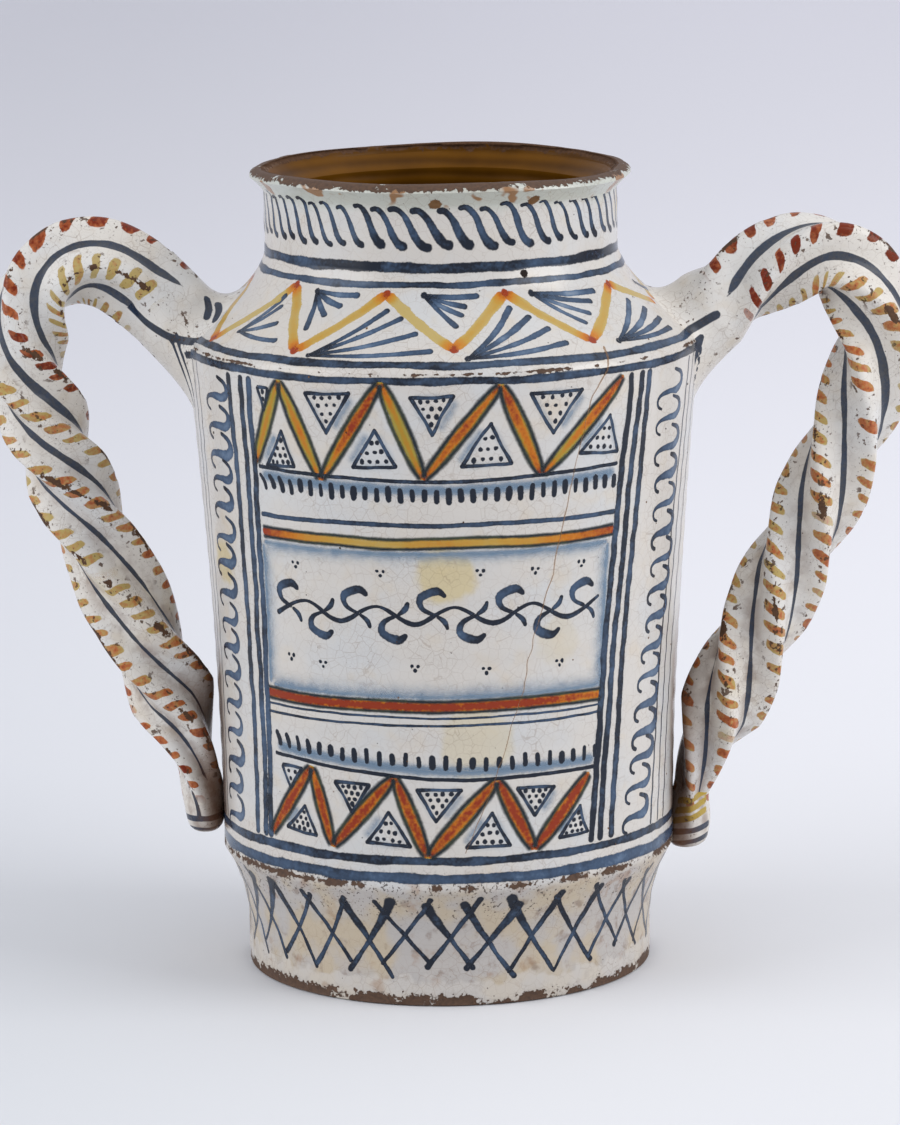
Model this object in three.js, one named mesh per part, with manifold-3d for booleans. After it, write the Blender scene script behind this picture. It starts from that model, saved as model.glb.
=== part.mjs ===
// A two-handled vase of tin-glazed earthenware: one wheel-thrown vessel, and on each side
// a handle twisted like a rope from four clay coils. Each handle is luted to the shoulder
// with a flared collar of clay and pressed to the wall below in a flat pad.
// Millimetres, +Z up. The origin is the centre of the flat base, and the handles lie along X.

import * as THREE from "three";
import { mergeVertices } from "three/addons/utils/BufferGeometryUtils.js";
import Module from "manifold-3d";

// Heights of the vessel, one above the other
const FOOT_HEIGHT = 39;
const WALL_HEIGHT = 157.5;
const SHOULDER_HEIGHT = 27.5;
const NECK_HEIGHT = 19;
const LIP_HEIGHT = 7;

// Outer radii of the vessel
const BASE_RADIUS = 63.2;
const FOOT_EDGE_RADIUS = 70.6;
const SHOULDER_RADIUS = 79.3;
const NECK_RADIUS = 54.4;
const LIP_RADIUS = 58.7;

// Thickness of the thrown clay
const WALL_THICKNESS = 6.5;
const FLOOR_THICKNESS = 9;
const LIP_THICKNESS = 6;

// Softness of the edges and bends of the thrown outline
const BASE_BEVEL = 1.4;
const FOOT_DRUM_HEIGHT = 12;
const WALL_BEND_HEIGHT = 61;
const EDGE_SOFTNESS = 1.2;
const NECK_BEND_HEIGHT = 11;
const NECK_BEND_WIDTH = 6.6;

// The rope of four coils
const COILS = 4;
const LOBE_ANGLE = 2 * Math.PI / COILS;
const ROPE_RADIUS = 14;
const GROOVE_DEPTH = 4.6;
const PRESSED_LENGTH = 24;

// The pad on the wall that the pressed coils end in
const PAD_LENGTH = 19;
const PAD_WIDTH = 27;
const PAD_TIP_WIDTH = 19;
const PAD_TIP_THICKNESS = 11;
const PAD_ROUNDING = 0.8;
const PAD_ROUNDING_POWER = 6;

// The collar at the shoulder, and the web of clay in which it spreads onto the vessel
const COLLAR_LENGTH = 26;
const COLLAR_FLARE = 0.8;
const COLLAR_SINK = 6;
const COLLAR_DROP = 1.5;
const WEB_START = 13;
const WEB_UP = 18;
const WEB_DOWN = 21;
const WEB_WIDTH = 20;
const WEB_SINK = 0.9;

// Fitting gap between pieces that touch on the real object
const GAP = 0.3;

// Fineness of the facets
const VESSEL_SEGMENTS = 64;
const CURVE_STEPS = 4;
const ROPE_STEP = 5.2;
const LOBE_STEPS = 8;
const ROPE_SIDES = 24;
const END_STEPS = 6;
const WEB_STEPS = 5;
const SEARCH_STEPS = 40;
const MERGE_TOLERANCE = 1e-4;

// How far the control points of a handle's bends stand off, as shares of each bend's own
// span: a quarter ellipse, the rise to the crown, the long run down, and the pressed end
const ELLIPSE_PULL = 0.5523;
const CROWN_PULL = 0.385;
const RUN_PULL = 0.143;
const PRESS_PULL = 0.417;

// How full the long run of a handle stands out, as a share of its overhang
const RUN_FULLNESS = 0.55;

// The two handles, which the potter shaped by eye. Reaches are measured out from the
// shoulder edge and rises up from it. Each twist is a list of stations: the share of the
// handle's length, and how many coils have passed the outer side by there.
const HANDLES = [
  {
    name: "left",
    side: -1,
    rootAngle: 42,
    crownReach: 29.7,
    crownRise: 24.8,
    reach: 50.2,
    reachRise: -0.5,
    meetHeight: 84,
    twist: [[0, 0], [0.19, 0.05], [0.37, 1.5], [0.57, 3.5], [0.75, 4.5], [0.88, 5.5], [1, 6.3]],
  },
  {
    name: "right",
    side: 1,
    rootAngle: 42,
    crownReach: 37,
    crownRise: 24.3,
    reach: 54.5,
    reachRise: -2.5,
    meetHeight: 77,
    twist: [[0, 0], [1, 7.4]],
  },
];

// Glazes and clay
const GLAZE_WHITE = 0xd9d0cc;
const GLAZE_ORANGE = 0xb98a55;
const GLAZE_BLUE_WHITE = 0xb9bfc9;

const wasm = await Module();
wasm.setup();

const footEdgeHeight = FOOT_HEIGHT;
const shoulderEdgeHeight = footEdgeHeight + WALL_HEIGHT;
const neckBottomHeight = shoulderEdgeHeight + SHOULDER_HEIGHT;
const lipBottomHeight = neckBottomHeight + NECK_HEIGHT;
const topHeight = lipBottomHeight + LIP_HEIGHT;

// Outer outline of the vessel from the base corner up to the crest of the lip
function outerOutline() {
  const path = new THREE.Path();
  path.moveTo(BASE_RADIUS - BASE_BEVEL, 0);
  path.lineTo(BASE_RADIUS, BASE_BEVEL);
  path.lineTo(BASE_RADIUS, FOOT_DRUM_HEIGHT);
  path.quadraticCurveTo(
    BASE_RADIUS, (FOOT_DRUM_HEIGHT + footEdgeHeight) / 2,
    FOOT_EDGE_RADIUS, footEdgeHeight - EDGE_SOFTNESS,
  );
  path.lineTo(FOOT_EDGE_RADIUS, footEdgeHeight + EDGE_SOFTNESS);
  path.quadraticCurveTo(
    FOOT_EDGE_RADIUS, footEdgeHeight + WALL_BEND_HEIGHT,
    SHOULDER_RADIUS, shoulderEdgeHeight - EDGE_SOFTNESS,
  );
  path.lineTo(SHOULDER_RADIUS - EDGE_SOFTNESS / 2, shoulderEdgeHeight + EDGE_SOFTNESS);
  path.lineTo(NECK_RADIUS + NECK_BEND_WIDTH, neckBottomHeight - NECK_BEND_HEIGHT);
  path.quadraticCurveTo(
    NECK_RADIUS + NECK_BEND_WIDTH / 4, neckBottomHeight - NECK_BEND_HEIGHT / 2,
    NECK_RADIUS, neckBottomHeight,
  );
  path.lineTo(NECK_RADIUS, lipBottomHeight);
  path.quadraticCurveTo(
    NECK_RADIUS + (LIP_RADIUS - NECK_RADIUS) / 3, lipBottomHeight + LIP_HEIGHT / 3,
    LIP_RADIUS, topHeight - LIP_HEIGHT / 3,
  );
  path.quadraticCurveTo(
    LIP_RADIUS, topHeight,
    LIP_RADIUS - LIP_THICKNESS / 2, topHeight,
  );
  return path.getPoints(CURVE_STEPS);
}

// Inner outline from the crest of the lip down to the middle of the floor
function innerOutline() {
  const neckInside = NECK_RADIUS - WALL_THICKNESS;
  const shoulderInside = SHOULDER_RADIUS - WALL_THICKNESS;
  const footInside = FOOT_EDGE_RADIUS - WALL_THICKNESS;
  const baseInside = BASE_RADIUS - WALL_THICKNESS;
  const path = new THREE.Path();
  path.moveTo(LIP_RADIUS - LIP_THICKNESS / 2, topHeight);
  path.quadraticCurveTo(
    LIP_RADIUS - LIP_THICKNESS, topHeight,
    LIP_RADIUS - LIP_THICKNESS, topHeight - LIP_HEIGHT / 3,
  );
  path.lineTo(neckInside, lipBottomHeight);
  path.lineTo(neckInside, neckBottomHeight);
  path.lineTo(neckInside + NECK_BEND_WIDTH, neckBottomHeight - NECK_BEND_HEIGHT - WALL_THICKNESS / 2);
  path.lineTo(shoulderInside, shoulderEdgeHeight - WALL_THICKNESS / 2);
  path.quadraticCurveTo(
    footInside, footEdgeHeight + WALL_BEND_HEIGHT,
    footInside, footEdgeHeight,
  );
  path.quadraticCurveTo(
    baseInside, (FLOOR_THICKNESS + footEdgeHeight) / 2,
    baseInside, FLOOR_THICKNESS + WALL_THICKNESS,
  );
  path.quadraticCurveTo(
    baseInside, FLOOR_THICKNESS,
    baseInside - WALL_THICKNESS, FLOOR_THICKNESS,
  );
  path.lineTo(0, FLOOR_THICKNESS);
  return path.getPoints(CURVE_STEPS - 1);
}

// Radius of the outer outline at a height, between two of its points
function radiusAt(outline, height) {
  for (let i = 1; i < outline.length; i += 1) {
    const low = outline[i - 1];
    const high = outline[i];
    if (height >= low.y && height <= high.y && high.y > low.y) {
      return THREE.MathUtils.mapLinear(height, low.y, high.y, low.x, high.x);
    }
  }
  return outline[0].x;
}

// A surface turned round +Z from a profile of radius and height
function turned(profile) {
  const geometry = new THREE.LatheGeometry(profile, VESSEL_SEGMENTS);
  geometry.rotateX(Math.PI / 2);
  return geometry;
}

// The profile moved outwards by a distance, square to its own slope
function offsetProfile(outline, distance) {
  return outline.map((point, i) => {
    const before = outline[Math.max(i - 1, 0)];
    const after = outline[Math.min(i + 1, outline.length - 1)];
    const along = new THREE.Vector2().subVectors(after, before).normalize();
    return new THREE.Vector2(point.x + along.y * distance, point.y - along.x * distance);
  });
}

function toManifold(geometry) {
  const bare = geometry.clone();
  bare.deleteAttribute("normal");
  bare.deleteAttribute("uv");
  const merged = mergeVertices(bare, MERGE_TOLERANCE);
  const mesh = new wasm.Mesh({
    numProp: 3,
    vertProperties: new Float32Array(merged.attributes.position.array),
    triVerts: new Uint32Array(merged.index.array),
  });
  return new wasm.Manifold(mesh);
}

function toGeometry(solid) {
  const mesh = solid.getMesh();
  const geometry = new THREE.BufferGeometry();
  geometry.setAttribute("position", new THREE.BufferAttribute(mesh.vertProperties, 3));
  geometry.setIndex(new THREE.BufferAttribute(mesh.triVerts, 1));
  return geometry;
}

// The mean of a ring of points
function middleOf(ring) {
  const sum = ring.reduce((total, point) => total.add(point), new THREE.Vector3());
  return sum.divideScalar(ring.length);
}

// Closes a stack of rings, all with as many points, into one solid with a flat fan at
// each end. The last column of faces folds along its other diagonal, so that twisted
// coils lie side by side without crossing.
function skinRings(rings) {
  const count = rings[0].length;
  const points = [...rings.flat(), middleOf(rings[0]), middleOf(rings[rings.length - 1])];
  const positions = points.flatMap((point) => [point.x, point.y, point.z]);
  const index = [];
  for (let i = 0; i + 1 < rings.length; i += 1) {
    for (let j = 0; j < count; j += 1) {
      const next = (j + 1) % count;
      const a = i * count + j;
      const b = i * count + next;
      if (next > 0) {
        index.push(a, b, b + count, a, b + count, a + count);
      } else {
        index.push(a, b, a + count, b, b + count, a + count);
      }
    }
  }
  const last = (rings.length - 1) * count;
  const middle = rings.length * count;
  for (let j = 0; j < count; j += 1) {
    const next = (j + 1) % count;
    index.push(middle, next, j);
    index.push(middle + 1, last + j, last + next);
  }
  const geometry = new THREE.BufferGeometry();
  geometry.setAttribute("position", new THREE.Float32BufferAttribute(positions, 3));
  geometry.setIndex(index);
  return geometry;
}

// The middle line of a handle, from its root in the shoulder to its tip on the wall
function handlePath(handle, outline) {
  const place = (reach, height) => new THREE.Vector3(handle.side * reach, 0, height);
  const crownReach = SHOULDER_RADIUS + handle.crownReach;
  const crownHeight = shoulderEdgeHeight + handle.crownRise;
  const outerReach = SHOULDER_RADIUS + handle.reach;
  const outerHeight = shoulderEdgeHeight + handle.reachRise;
  const meetHeight = handle.meetHeight;
  const meetReach = radiusAt(outline, meetHeight) + GAP + ROPE_RADIUS;
  const tipHeight = meetHeight - PRESSED_LENGTH - PAD_LENGTH;
  const tipReach = radiusAt(outline, tipHeight) + PAD_TIP_THICKNESS / 2;

  // The root starts inside the clay of the shoulder, square to the slope of the collar
  const angle = THREE.MathUtils.degToRad(handle.rootAngle);
  const rootReach = SHOULDER_RADIUS - COLLAR_SINK;
  const rootHeight = shoulderEdgeHeight - COLLAR_DROP;
  const rise = (crownReach - rootReach) * CROWN_PULL;
  const runLength = outerHeight - meetHeight;
  const path = new THREE.CurvePath();
  path.add(new THREE.CubicBezierCurve3(
    place(rootReach, rootHeight),
    place(rootReach + rise * Math.cos(angle), rootHeight + rise * Math.sin(angle)),
    place(crownReach - rise, crownHeight),
    place(crownReach, crownHeight),
  ));
  path.add(new THREE.CubicBezierCurve3(
    place(crownReach, crownHeight),
    place(crownReach + ELLIPSE_PULL * (outerReach - crownReach), crownHeight),
    place(outerReach, outerHeight + ELLIPSE_PULL * (crownHeight - outerHeight)),
    place(outerReach, outerHeight),
  ));
  const runEnd = new THREE.Vector2(RUN_FULLNESS * (outerReach - meetReach), runLength / 2);
  path.add(new THREE.CubicBezierCurve3(
    place(outerReach, outerHeight),
    place(outerReach, outerHeight - runLength * RUN_PULL),
    place(meetReach + runEnd.x, meetHeight + runEnd.y),
    place(meetReach, meetHeight),
  ));
  const slope = runEnd.clone().normalize().multiplyScalar(PRESSED_LENGTH * PRESS_PULL);
  path.add(new THREE.CubicBezierCurve3(
    place(meetReach, meetHeight),
    place(meetReach - slope.x, meetHeight - slope.y),
    place(tipReach, tipHeight + PAD_LENGTH),
    place(tipReach, tipHeight),
  ));
  return path;
}

// Coils passed at a share of the handle's length, eased between the stations
function coilsPassed(stations, share) {
  const last = stations.length - 1;
  if (share >= stations[last][0]) {
    return stations[last][1];
  }
  const i = stations.findIndex((station) => station[0] > share) - 1;
  const slopeAt = (k) => {
    const from = stations[Math.max(k - 1, 0)];
    const to = stations[Math.min(k + 1, last)];
    return (to[1] - from[1]) / (to[0] - from[0]);
  };
  const span = stations[i + 1][0] - stations[i][0];
  const t = (share - stations[i][0]) / span;
  const rise = stations[i + 1][1] - stations[i][1];
  const bend = t * (1 - t) * ((1 - t) * (slopeAt(i) * span - rise) - t * (slopeAt(i + 1) * span - rise));
  return stations[i][1] + t * rise + bend;
}

// Everything that the pieces of one handle share: its middle line, the cross direction at
// each place, and the half thickness that is left where the rope is pressed to the wall
function handleFrame(handle, outline) {
  const path = handlePath(handle, outline);
  const length = path.getLength();
  const over = new THREE.Vector3(0, -handle.side, 0);
  const coilEnd = handle.meetHeight - PRESSED_LENGTH;
  const at = (distance) => {
    const share = THREE.MathUtils.clamp(distance / length, 0, 1);
    const centre = path.getPointAt(share);
    const along = path.getTangentAt(share);
    const side = new THREE.Vector3().crossVectors(over, along);
    const clear = Math.abs(centre.x) - radiusAt(outline, centre.z) - GAP;
    const pressed = centre.z < handle.meetHeight;
    const half = pressed ? Math.min(ROPE_RADIUS, Math.max(clear, GAP)) : ROPE_RADIUS;
    const turn = coilsPassed(handle.twist, share) * LOBE_ANGLE;
    return { centre, side, over, half, turn };
  };
  const distanceAtHeight = (height) => {
    let low = length / 2;
    let high = length;
    for (let step = 0; step < SEARCH_STEPS; step += 1) {
      const middle = (low + high) / 2;
      if (at(middle).centre.z > height) {
        low = middle;
      } else {
        high = middle;
      }
    }
    return (low + high) / 2;
  };
  return { at, length, coilEnd: distanceAtHeight(coilEnd) };
}

// Radius of the rope at an angle from the crest of one of its coils
function ropeRadius(angle) {
  return ROPE_RADIUS - GROOVE_DEPTH / 2 * (1 - Math.cos(COILS * angle));
}

// A point of a handle's section, at a radius and angle, flattened towards the wall
function sectionPoint(place, radius, angle, flat) {
  return place.centre.clone()
    .addScaledVector(place.side, radius * Math.cos(angle) * flat)
    .addScaledVector(place.over, radius * Math.sin(angle));
}

// One coil of the rope: its share of the lobed section, swept along and twisted
function coilGeometry(frame, coil) {
  const start = COLLAR_LENGTH;
  const end = frame.coilEnd;
  const steps = Math.ceil((end - start) / ROPE_STEP);
  const apart = GAP / 2 / Math.sin(LOBE_ANGLE / 2);
  const rings = [];
  for (let i = 0; i <= steps; i += 1) {
    const place = frame.at(THREE.MathUtils.lerp(start, end, i / steps));
    const crest = coil * LOBE_ANGLE - place.turn;
    const flat = place.half / ROPE_RADIUS;
    const shift = sectionPoint(place, apart, crest, flat).sub(place.centre);
    const ring = [place.centre.clone().add(shift)];
    for (let j = 0; j <= LOBE_STEPS; j += 1) {
      const angle = (j / LOBE_STEPS - 0.5) * LOBE_ANGLE;
      const radius = ropeRadius(angle) - apart;
      ring.push(sectionPoint(place, radius, crest + angle, flat).add(shift));
    }
    rings.push(ring);
  }
  return skinRings(rings);
}

// A section of the whole rope that turns round or oval as its roundness nears 1
function wholeRing(place, flat, roundness, half, width) {
  const ring = [];
  for (let j = 0; j < ROPE_SIDES; j += 1) {
    const angle = j / ROPE_SIDES * 2 * Math.PI;
    const lobed = sectionPoint(place, ropeRadius(angle + place.turn), angle, flat);
    const oval = place.centre.clone()
      .addScaledVector(place.side, half * Math.cos(angle))
      .addScaledVector(place.over, width * Math.sin(angle));
    ring.push(lobed.lerp(oval, roundness));
  }
  return ring;
}

// Where a straight line from a point outside the vessel meets it
function meetVessel(point, direction, outline) {
  let low = 0;
  let high = COLLAR_LENGTH + WEB_START;
  const onLine = (distance) => point.clone().addScaledVector(direction, distance);
  for (let step = 0; step < SEARCH_STEPS; step += 1) {
    const middle = (low + high) / 2;
    const spot = onLine(middle);
    if (Math.hypot(spot.x, spot.y) > radiusAt(outline, spot.z)) {
      low = middle;
    } else {
      high = middle;
    }
  }
  return onLine(low);
}

// The rings of the web, from its foot just under the vessel's skin to the collar
function webRings(frame, start, outline, side) {
  const place = frame.at(WEB_START);
  const back = new THREE.Vector3().crossVectors(place.over, place.side);
  const curves = start.map((point, j) => {
    const angle = j / ROPE_SIDES * 2 * Math.PI;
    const rise = Math.cos(angle) * (Math.cos(angle) > 0 ? WEB_UP : WEB_DOWN);
    const height = shoulderEdgeHeight - COLLAR_DROP + rise;
    const aside = -side * WEB_WIDTH * Math.sin(angle);
    const radius = radiusAt(outline, height) - WEB_SINK;
    const foot = new THREE.Vector3(side * Math.sqrt(radius ** 2 - aside ** 2), aside, height);
    return new THREE.QuadraticBezierCurve3(foot, meetVessel(point, back, outline), point);
  });
  const rings = [];
  for (let i = 0; i < WEB_STEPS; i += 1) {
    rings.push(curves.map((curve) => curve.getPoint(i / WEB_STEPS)));
  }
  return rings;
}

// The collar that lutes the rope to the shoulder: the four coils melt into one round root
function collarGeometry(frame, outline, side, vesselOutside) {
  const rings = [];
  for (let i = 0; i <= END_STEPS; i += 1) {
    const distance = THREE.MathUtils.lerp(WEB_START, COLLAR_LENGTH - GAP, i / END_STEPS);
    const share = distance / COLLAR_LENGTH;
    const radius = ROPE_RADIUS + COLLAR_FLARE * (1 - share);
    rings.push(wholeRing(frame.at(distance), 1, 1 - share ** 2, radius, radius));
  }
  const web = webRings(frame, rings[0], outline, side);
  return toGeometry(toManifold(skinRings([...web, ...rings])).subtract(vesselOutside));
}

// The pad in which the pressed coils end on the wall, rounded off at its tip
function padGeometry(frame, vesselOutside) {
  const rings = [];
  const start = frame.coilEnd + GAP;
  const startHalf = frame.at(start).half;
  for (let i = 0; i <= END_STEPS; i += 1) {
    const share = i / END_STEPS;
    const place = frame.at(THREE.MathUtils.lerp(start, frame.length, share));
    const tip = Math.sqrt(1 - PAD_ROUNDING * share ** PAD_ROUNDING_POWER);
    const half = THREE.MathUtils.lerp(startHalf, PAD_TIP_THICKNESS / 2, share) * tip + 2 * GAP;
    const width = THREE.MathUtils.lerp(PAD_WIDTH, PAD_TIP_WIDTH, share) / 2 * tip;
    rings.push(wholeRing(place, startHalf / ROPE_RADIUS, Math.sqrt(share), half, width));
  }
  return toGeometry(toManifold(skinRings(rings)).subtract(vesselOutside));
}

function glazed(color) {
  return new THREE.MeshStandardMaterial({ color, roughness: 0.3, metalness: 0 });
}

function addPiece(object, name, geometry, material) {
  geometry.computeVertexNormals();
  const mesh = new THREE.Mesh(geometry, material);
  mesh.name = name;
  object.add(mesh);
}

const outline = outerOutline();
const vase = new THREE.Group();

// The vessel is turned in one piece: foot, wall, shoulder, neck and lip
const vesselProfile = [new THREE.Vector2(0, 0), ...outline, ...innerOutline().slice(1)];
addPiece(vase, "vessel", turned(vesselProfile), glazed(GLAZE_WHITE));

// The vessel filled in and grown by the fitting gap, which trims what is luted to it
const trimProfile = offsetProfile(outline, GAP);
const trimTop = trimProfile[trimProfile.length - 1].y;
const trimBottom = trimProfile[0].y;
const vesselOutside = toManifold(turned([
  new THREE.Vector2(0, trimBottom),
  ...trimProfile,
  new THREE.Vector2(0, trimTop),
]));

for (const handle of HANDLES) {
  const frame = handleFrame(handle, outline);
  addPiece(
    vase, `${handle.name}_shoulder_collar`,
    collarGeometry(frame, outline, handle.side, vesselOutside), glazed(GLAZE_BLUE_WHITE),
  );
  for (let coil = 0; coil < COILS; coil += 1) {
    addPiece(
      vase, `${handle.name}_handle_coil_${coil + 1}`,
      coilGeometry(frame, coil), glazed(GLAZE_ORANGE),
    );
  }
  addPiece(
    vase, `${handle.name}_wall_pad`,
    padGeometry(frame, vesselOutside), glazed(GLAZE_BLUE_WHITE),
  );
}

export default vase;
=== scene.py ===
"""Looks of a two-handled vase of tin-glazed earthenware.

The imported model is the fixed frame. The vessel, the rope coils, the collars and the pads are
modelled again with the hand-made detail that their solids leave out, and the painted
decoration lies on the vessel's skin stroke by stroke. Sizes are in millimetres, and become
metres where a mesh is made. Angles on the vessel are in degrees from the middle of the
front, positive towards the right handle.
"""

import logging
import math
import random
from dataclasses import dataclass, field
from enum import Enum
from typing import Callable, Sequence

import bpy
import numpy as np
from mathutils import Matrix, Vector, noise


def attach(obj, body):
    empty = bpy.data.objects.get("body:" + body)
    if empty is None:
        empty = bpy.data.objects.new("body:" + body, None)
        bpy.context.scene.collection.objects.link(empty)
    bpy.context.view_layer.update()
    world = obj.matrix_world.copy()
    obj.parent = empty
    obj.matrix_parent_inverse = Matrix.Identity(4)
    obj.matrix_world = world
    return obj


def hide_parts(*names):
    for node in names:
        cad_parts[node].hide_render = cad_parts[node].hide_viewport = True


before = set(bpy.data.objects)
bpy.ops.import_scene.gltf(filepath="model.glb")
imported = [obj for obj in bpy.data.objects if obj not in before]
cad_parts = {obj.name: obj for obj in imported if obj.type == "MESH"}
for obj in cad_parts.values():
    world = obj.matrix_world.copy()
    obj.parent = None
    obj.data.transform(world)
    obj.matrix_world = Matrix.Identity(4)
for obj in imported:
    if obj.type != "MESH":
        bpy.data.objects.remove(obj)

LOG = logging.getLogger("vase")
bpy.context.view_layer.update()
MM = 0.001
BODY = "root"

Color = tuple[float, float, float, float]
Spot = tuple[float, float]
Spot3 = tuple[float, float, float]
Array = np.ndarray
Placer = Callable[[Array, Array], Array]
Ring = Callable[[Array, Array], tuple[Array, Array]]


def srgb(red: int, green: int, blue: int) -> Color:
    """Linear colour of a paint that is named by its 0 to 255 screen values."""
    linear = (
        share / 12.92 if share <= 0.04045 else ((share + 0.055) / 1.055) ** 2.4
        for share in (red / 255, green / 255, blue / 255)
    )
    return (*linear, 1.0)


# Shader expressions


Operator = Callable[["Field", "Value"], "Field"]


def arithmetic(operation: str) -> tuple[Operator, Operator]:
    """The operator of a Math node, with the field on the left and on the right."""

    def plain(self: "Field", other: "Value") -> "Field":
        """The field first."""
        return self.graph.maths(operation, self, other)

    def reflected(self: "Field", other: "Value") -> "Field":
        """The field second."""
        return self.graph.maths(operation, other, self)

    return plain, reflected


class Field:
    """A node socket that takes part in Python arithmetic."""

    def __init__(self, graph: "Graph", socket: bpy.types.NodeSocket) -> None:
        """Wraps a socket of a graph."""
        self.graph = graph
        self.socket = socket

    __add__, __radd__ = arithmetic("ADD")
    __sub__, __rsub__ = arithmetic("SUBTRACT")
    __mul__, __rmul__ = arithmetic("MULTIPLY")
    __truediv__, __rtruediv__ = arithmetic("DIVIDE")

    def __abs__(self) -> "Field":
        """Size without sign."""
        return self.graph.maths("ABSOLUTE", self)

    def power(self, exponent: float) -> "Field":
        """This value raised to an exponent."""
        return self.graph.maths("POWER", self, exponent)

    def larger(self, other: "Value") -> "Field":
        """The larger of the two values."""
        return self.graph.maths("MAXIMUM", self, other)

    def smaller(self, other: "Value") -> "Field":
        """The smaller of the two values."""
        return self.graph.maths("MINIMUM", self, other)

    def wave(self) -> "Field":
        """Sine of this value."""
        return self.graph.maths("SINE", self)

    def cell(self) -> "Field":
        """Whole number below this value."""
        return self.graph.maths("FLOOR", self)

    def rest(self) -> "Field":
        """What is left above the whole number below this value."""
        return self.graph.maths("FRACT", self)

    def limited(self) -> "Field":
        """This value held between 0 and 1."""
        return self.larger(0.0).smaller(1.0)

    def rising(self, low: float, high: float) -> "Field":
        """A smooth step from 0 at low to 1 at high.

        Args:
            low: Value where the step starts.
            high: Value where the step ends. Below low, the step falls instead.

        Returns:
            The step.
        """
        return self.graph.field(
            "ShaderNodeMapRange",
            {"interpolation_type": "SMOOTHSTEP"},
            {"Value": self, "From Min": low, "From Max": high},
        )


Value = Field | float
Settings = dict[str, object]
Inputs = dict[str | int, object]


class Graph:
    """The node tree of one material, filled in by expressions."""

    def __init__(self, name: str) -> None:
        """Starts an empty material."""
        self.material = bpy.data.materials.new(name)
        self.material.use_nodes = True
        self.tree = self.material.node_tree
        self.tree.nodes.clear()
        place = self.node("ShaderNodeTexCoord", {}, {})
        self.place = self.field(
            "ShaderNodeVectorMath",
            {"operation": "SCALE"},
            {"Vector": place.outputs["Object"], "Scale": 1 / MM},
        )
        self.x, self.y, self.z = self.parts(self.place)

    def node(self, kind: str, settings: Settings, inputs: Inputs) -> bpy.types.Node:
        """Adds one node.

        Args:
            kind: Type of the node.
            settings: Attributes that are set first.
            inputs: Values or links of the sockets, by name or place.

        Returns:
            The node.
        """
        node = self.tree.nodes.new(kind)
        for name, value in settings.items():
            setattr(node, name, value)
        for key, value in inputs.items():
            socket = node.inputs[key]
            if isinstance(value, Field):
                self.tree.links.new(value.socket, socket)
            elif isinstance(value, bpy.types.NodeSocket):
                self.tree.links.new(value, socket)
            else:
                socket.default_value = value
        return node

    def field(
        self, kind: str, settings: Settings, inputs: Inputs, output: str | int = 0
    ) -> Field:
        """An output of a new node, ready for arithmetic."""
        return Field(self, self.node(kind, settings, inputs).outputs[output])

    def parts(self, vector: Field | bpy.types.NodeSocket) -> tuple[Field, Field, Field]:
        """The three numbers of a vector."""
        split = self.node("ShaderNodeSeparateXYZ", {}, {0: vector})
        first, second, third = (Field(self, output) for output in split.outputs)
        return first, second, third

    def maths(self, operation: str, *values: Value) -> Field:
        """One Math node over its values."""
        return self.field("ShaderNodeMath", {"operation": operation}, dict(enumerate(values)))

    def noise(self, scale: float, detail: float = 2.0, shift: float = 0.0) -> Field:
        """Soft noise around one half.

        Args:
            scale: Features per millimetre.
            detail: Layers of finer noise.
            shift: Moves the noise, so that two of one scale differ.

        Returns:
            The noise, from 0 to 1.
        """
        return self.field(
            "ShaderNodeTexNoise",
            {"noise_dimensions": "4D"},
            {"Vector": self.place, "W": shift, "Scale": scale, "Detail": detail},
            "Fac",
        )

    def grains(self, scale: float, feature: str = "F1", spot: Field | None = None) -> Field:
        """Distance to the middle, or to the edge, of irregular cells.

        Args:
            scale: Cells per millimetre.
            feature: F1 for middles, DISTANCE_TO_EDGE for edges.
            spot: Where it is read, or None for the place on the piece.

        Returns:
            The distance, in cells.
        """
        where = {"Vector": spot or self.place, "Scale": scale}
        return self.field("ShaderNodeTexVoronoi", {"feature": feature}, where, "Distance")

    def distance(self, middle: Spot3) -> Field:
        """Millimetres from a point of the piece."""
        ends = {0: self.place, 1: middle}
        return self.field("ShaderNodeVectorMath", {"operation": "DISTANCE"}, ends, "Value")

    def chance(self, value: Field) -> Field:
        """A random number from 0 to 1 that belongs to a value."""
        return self.field("ShaderNodeTexWhiteNoise", {"noise_dimensions": "1D"}, {"W": value}, "Value")

    def attribute(self, name: str) -> tuple[Field, Field, Field]:
        """The three numbers that a point attribute holds."""
        return self.parts(self.field("ShaderNodeAttribute", {"attribute_name": name}, {}, "Vector"))

    def mixed(self, share: Value, low: Field | Color, high: Field | Color) -> Field:
        """A colour between two others.

        Args:
            share: 0 for the low colour, 1 for the high one.
            low: Colour at 0.
            high: Colour at 1.

        Returns:
            The colour.
        """
        kind = {"data_type": "RGBA", "clamp_factor": True}
        return self.field("ShaderNodeMix", kind, {0: share, 6: low, 7: high}, 2)

    def finish(self, sockets: Inputs, height: Field | None, depth: float) -> None:
        """Ends the material in one glossy surface.

        Args:
            sockets: Inputs of the surface.
            height: Relief of the surface, or None.
            depth: Millimetres of relief for a height of 1.
        """
        surface = self.node("ShaderNodeBsdfPrincipled", {}, sockets)
        if height is not None:
            bump = self.node(
                "ShaderNodeBump", {}, {"Strength": 1.0, "Distance": depth * MM, "Height": height}
            )
            self.tree.links.new(bump.outputs[0], surface.inputs["Normal"])
        end = self.node("ShaderNodeOutputMaterial", {}, {})
        self.tree.links.new(surface.outputs[0], end.inputs["Surface"])


# Finishes


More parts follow.
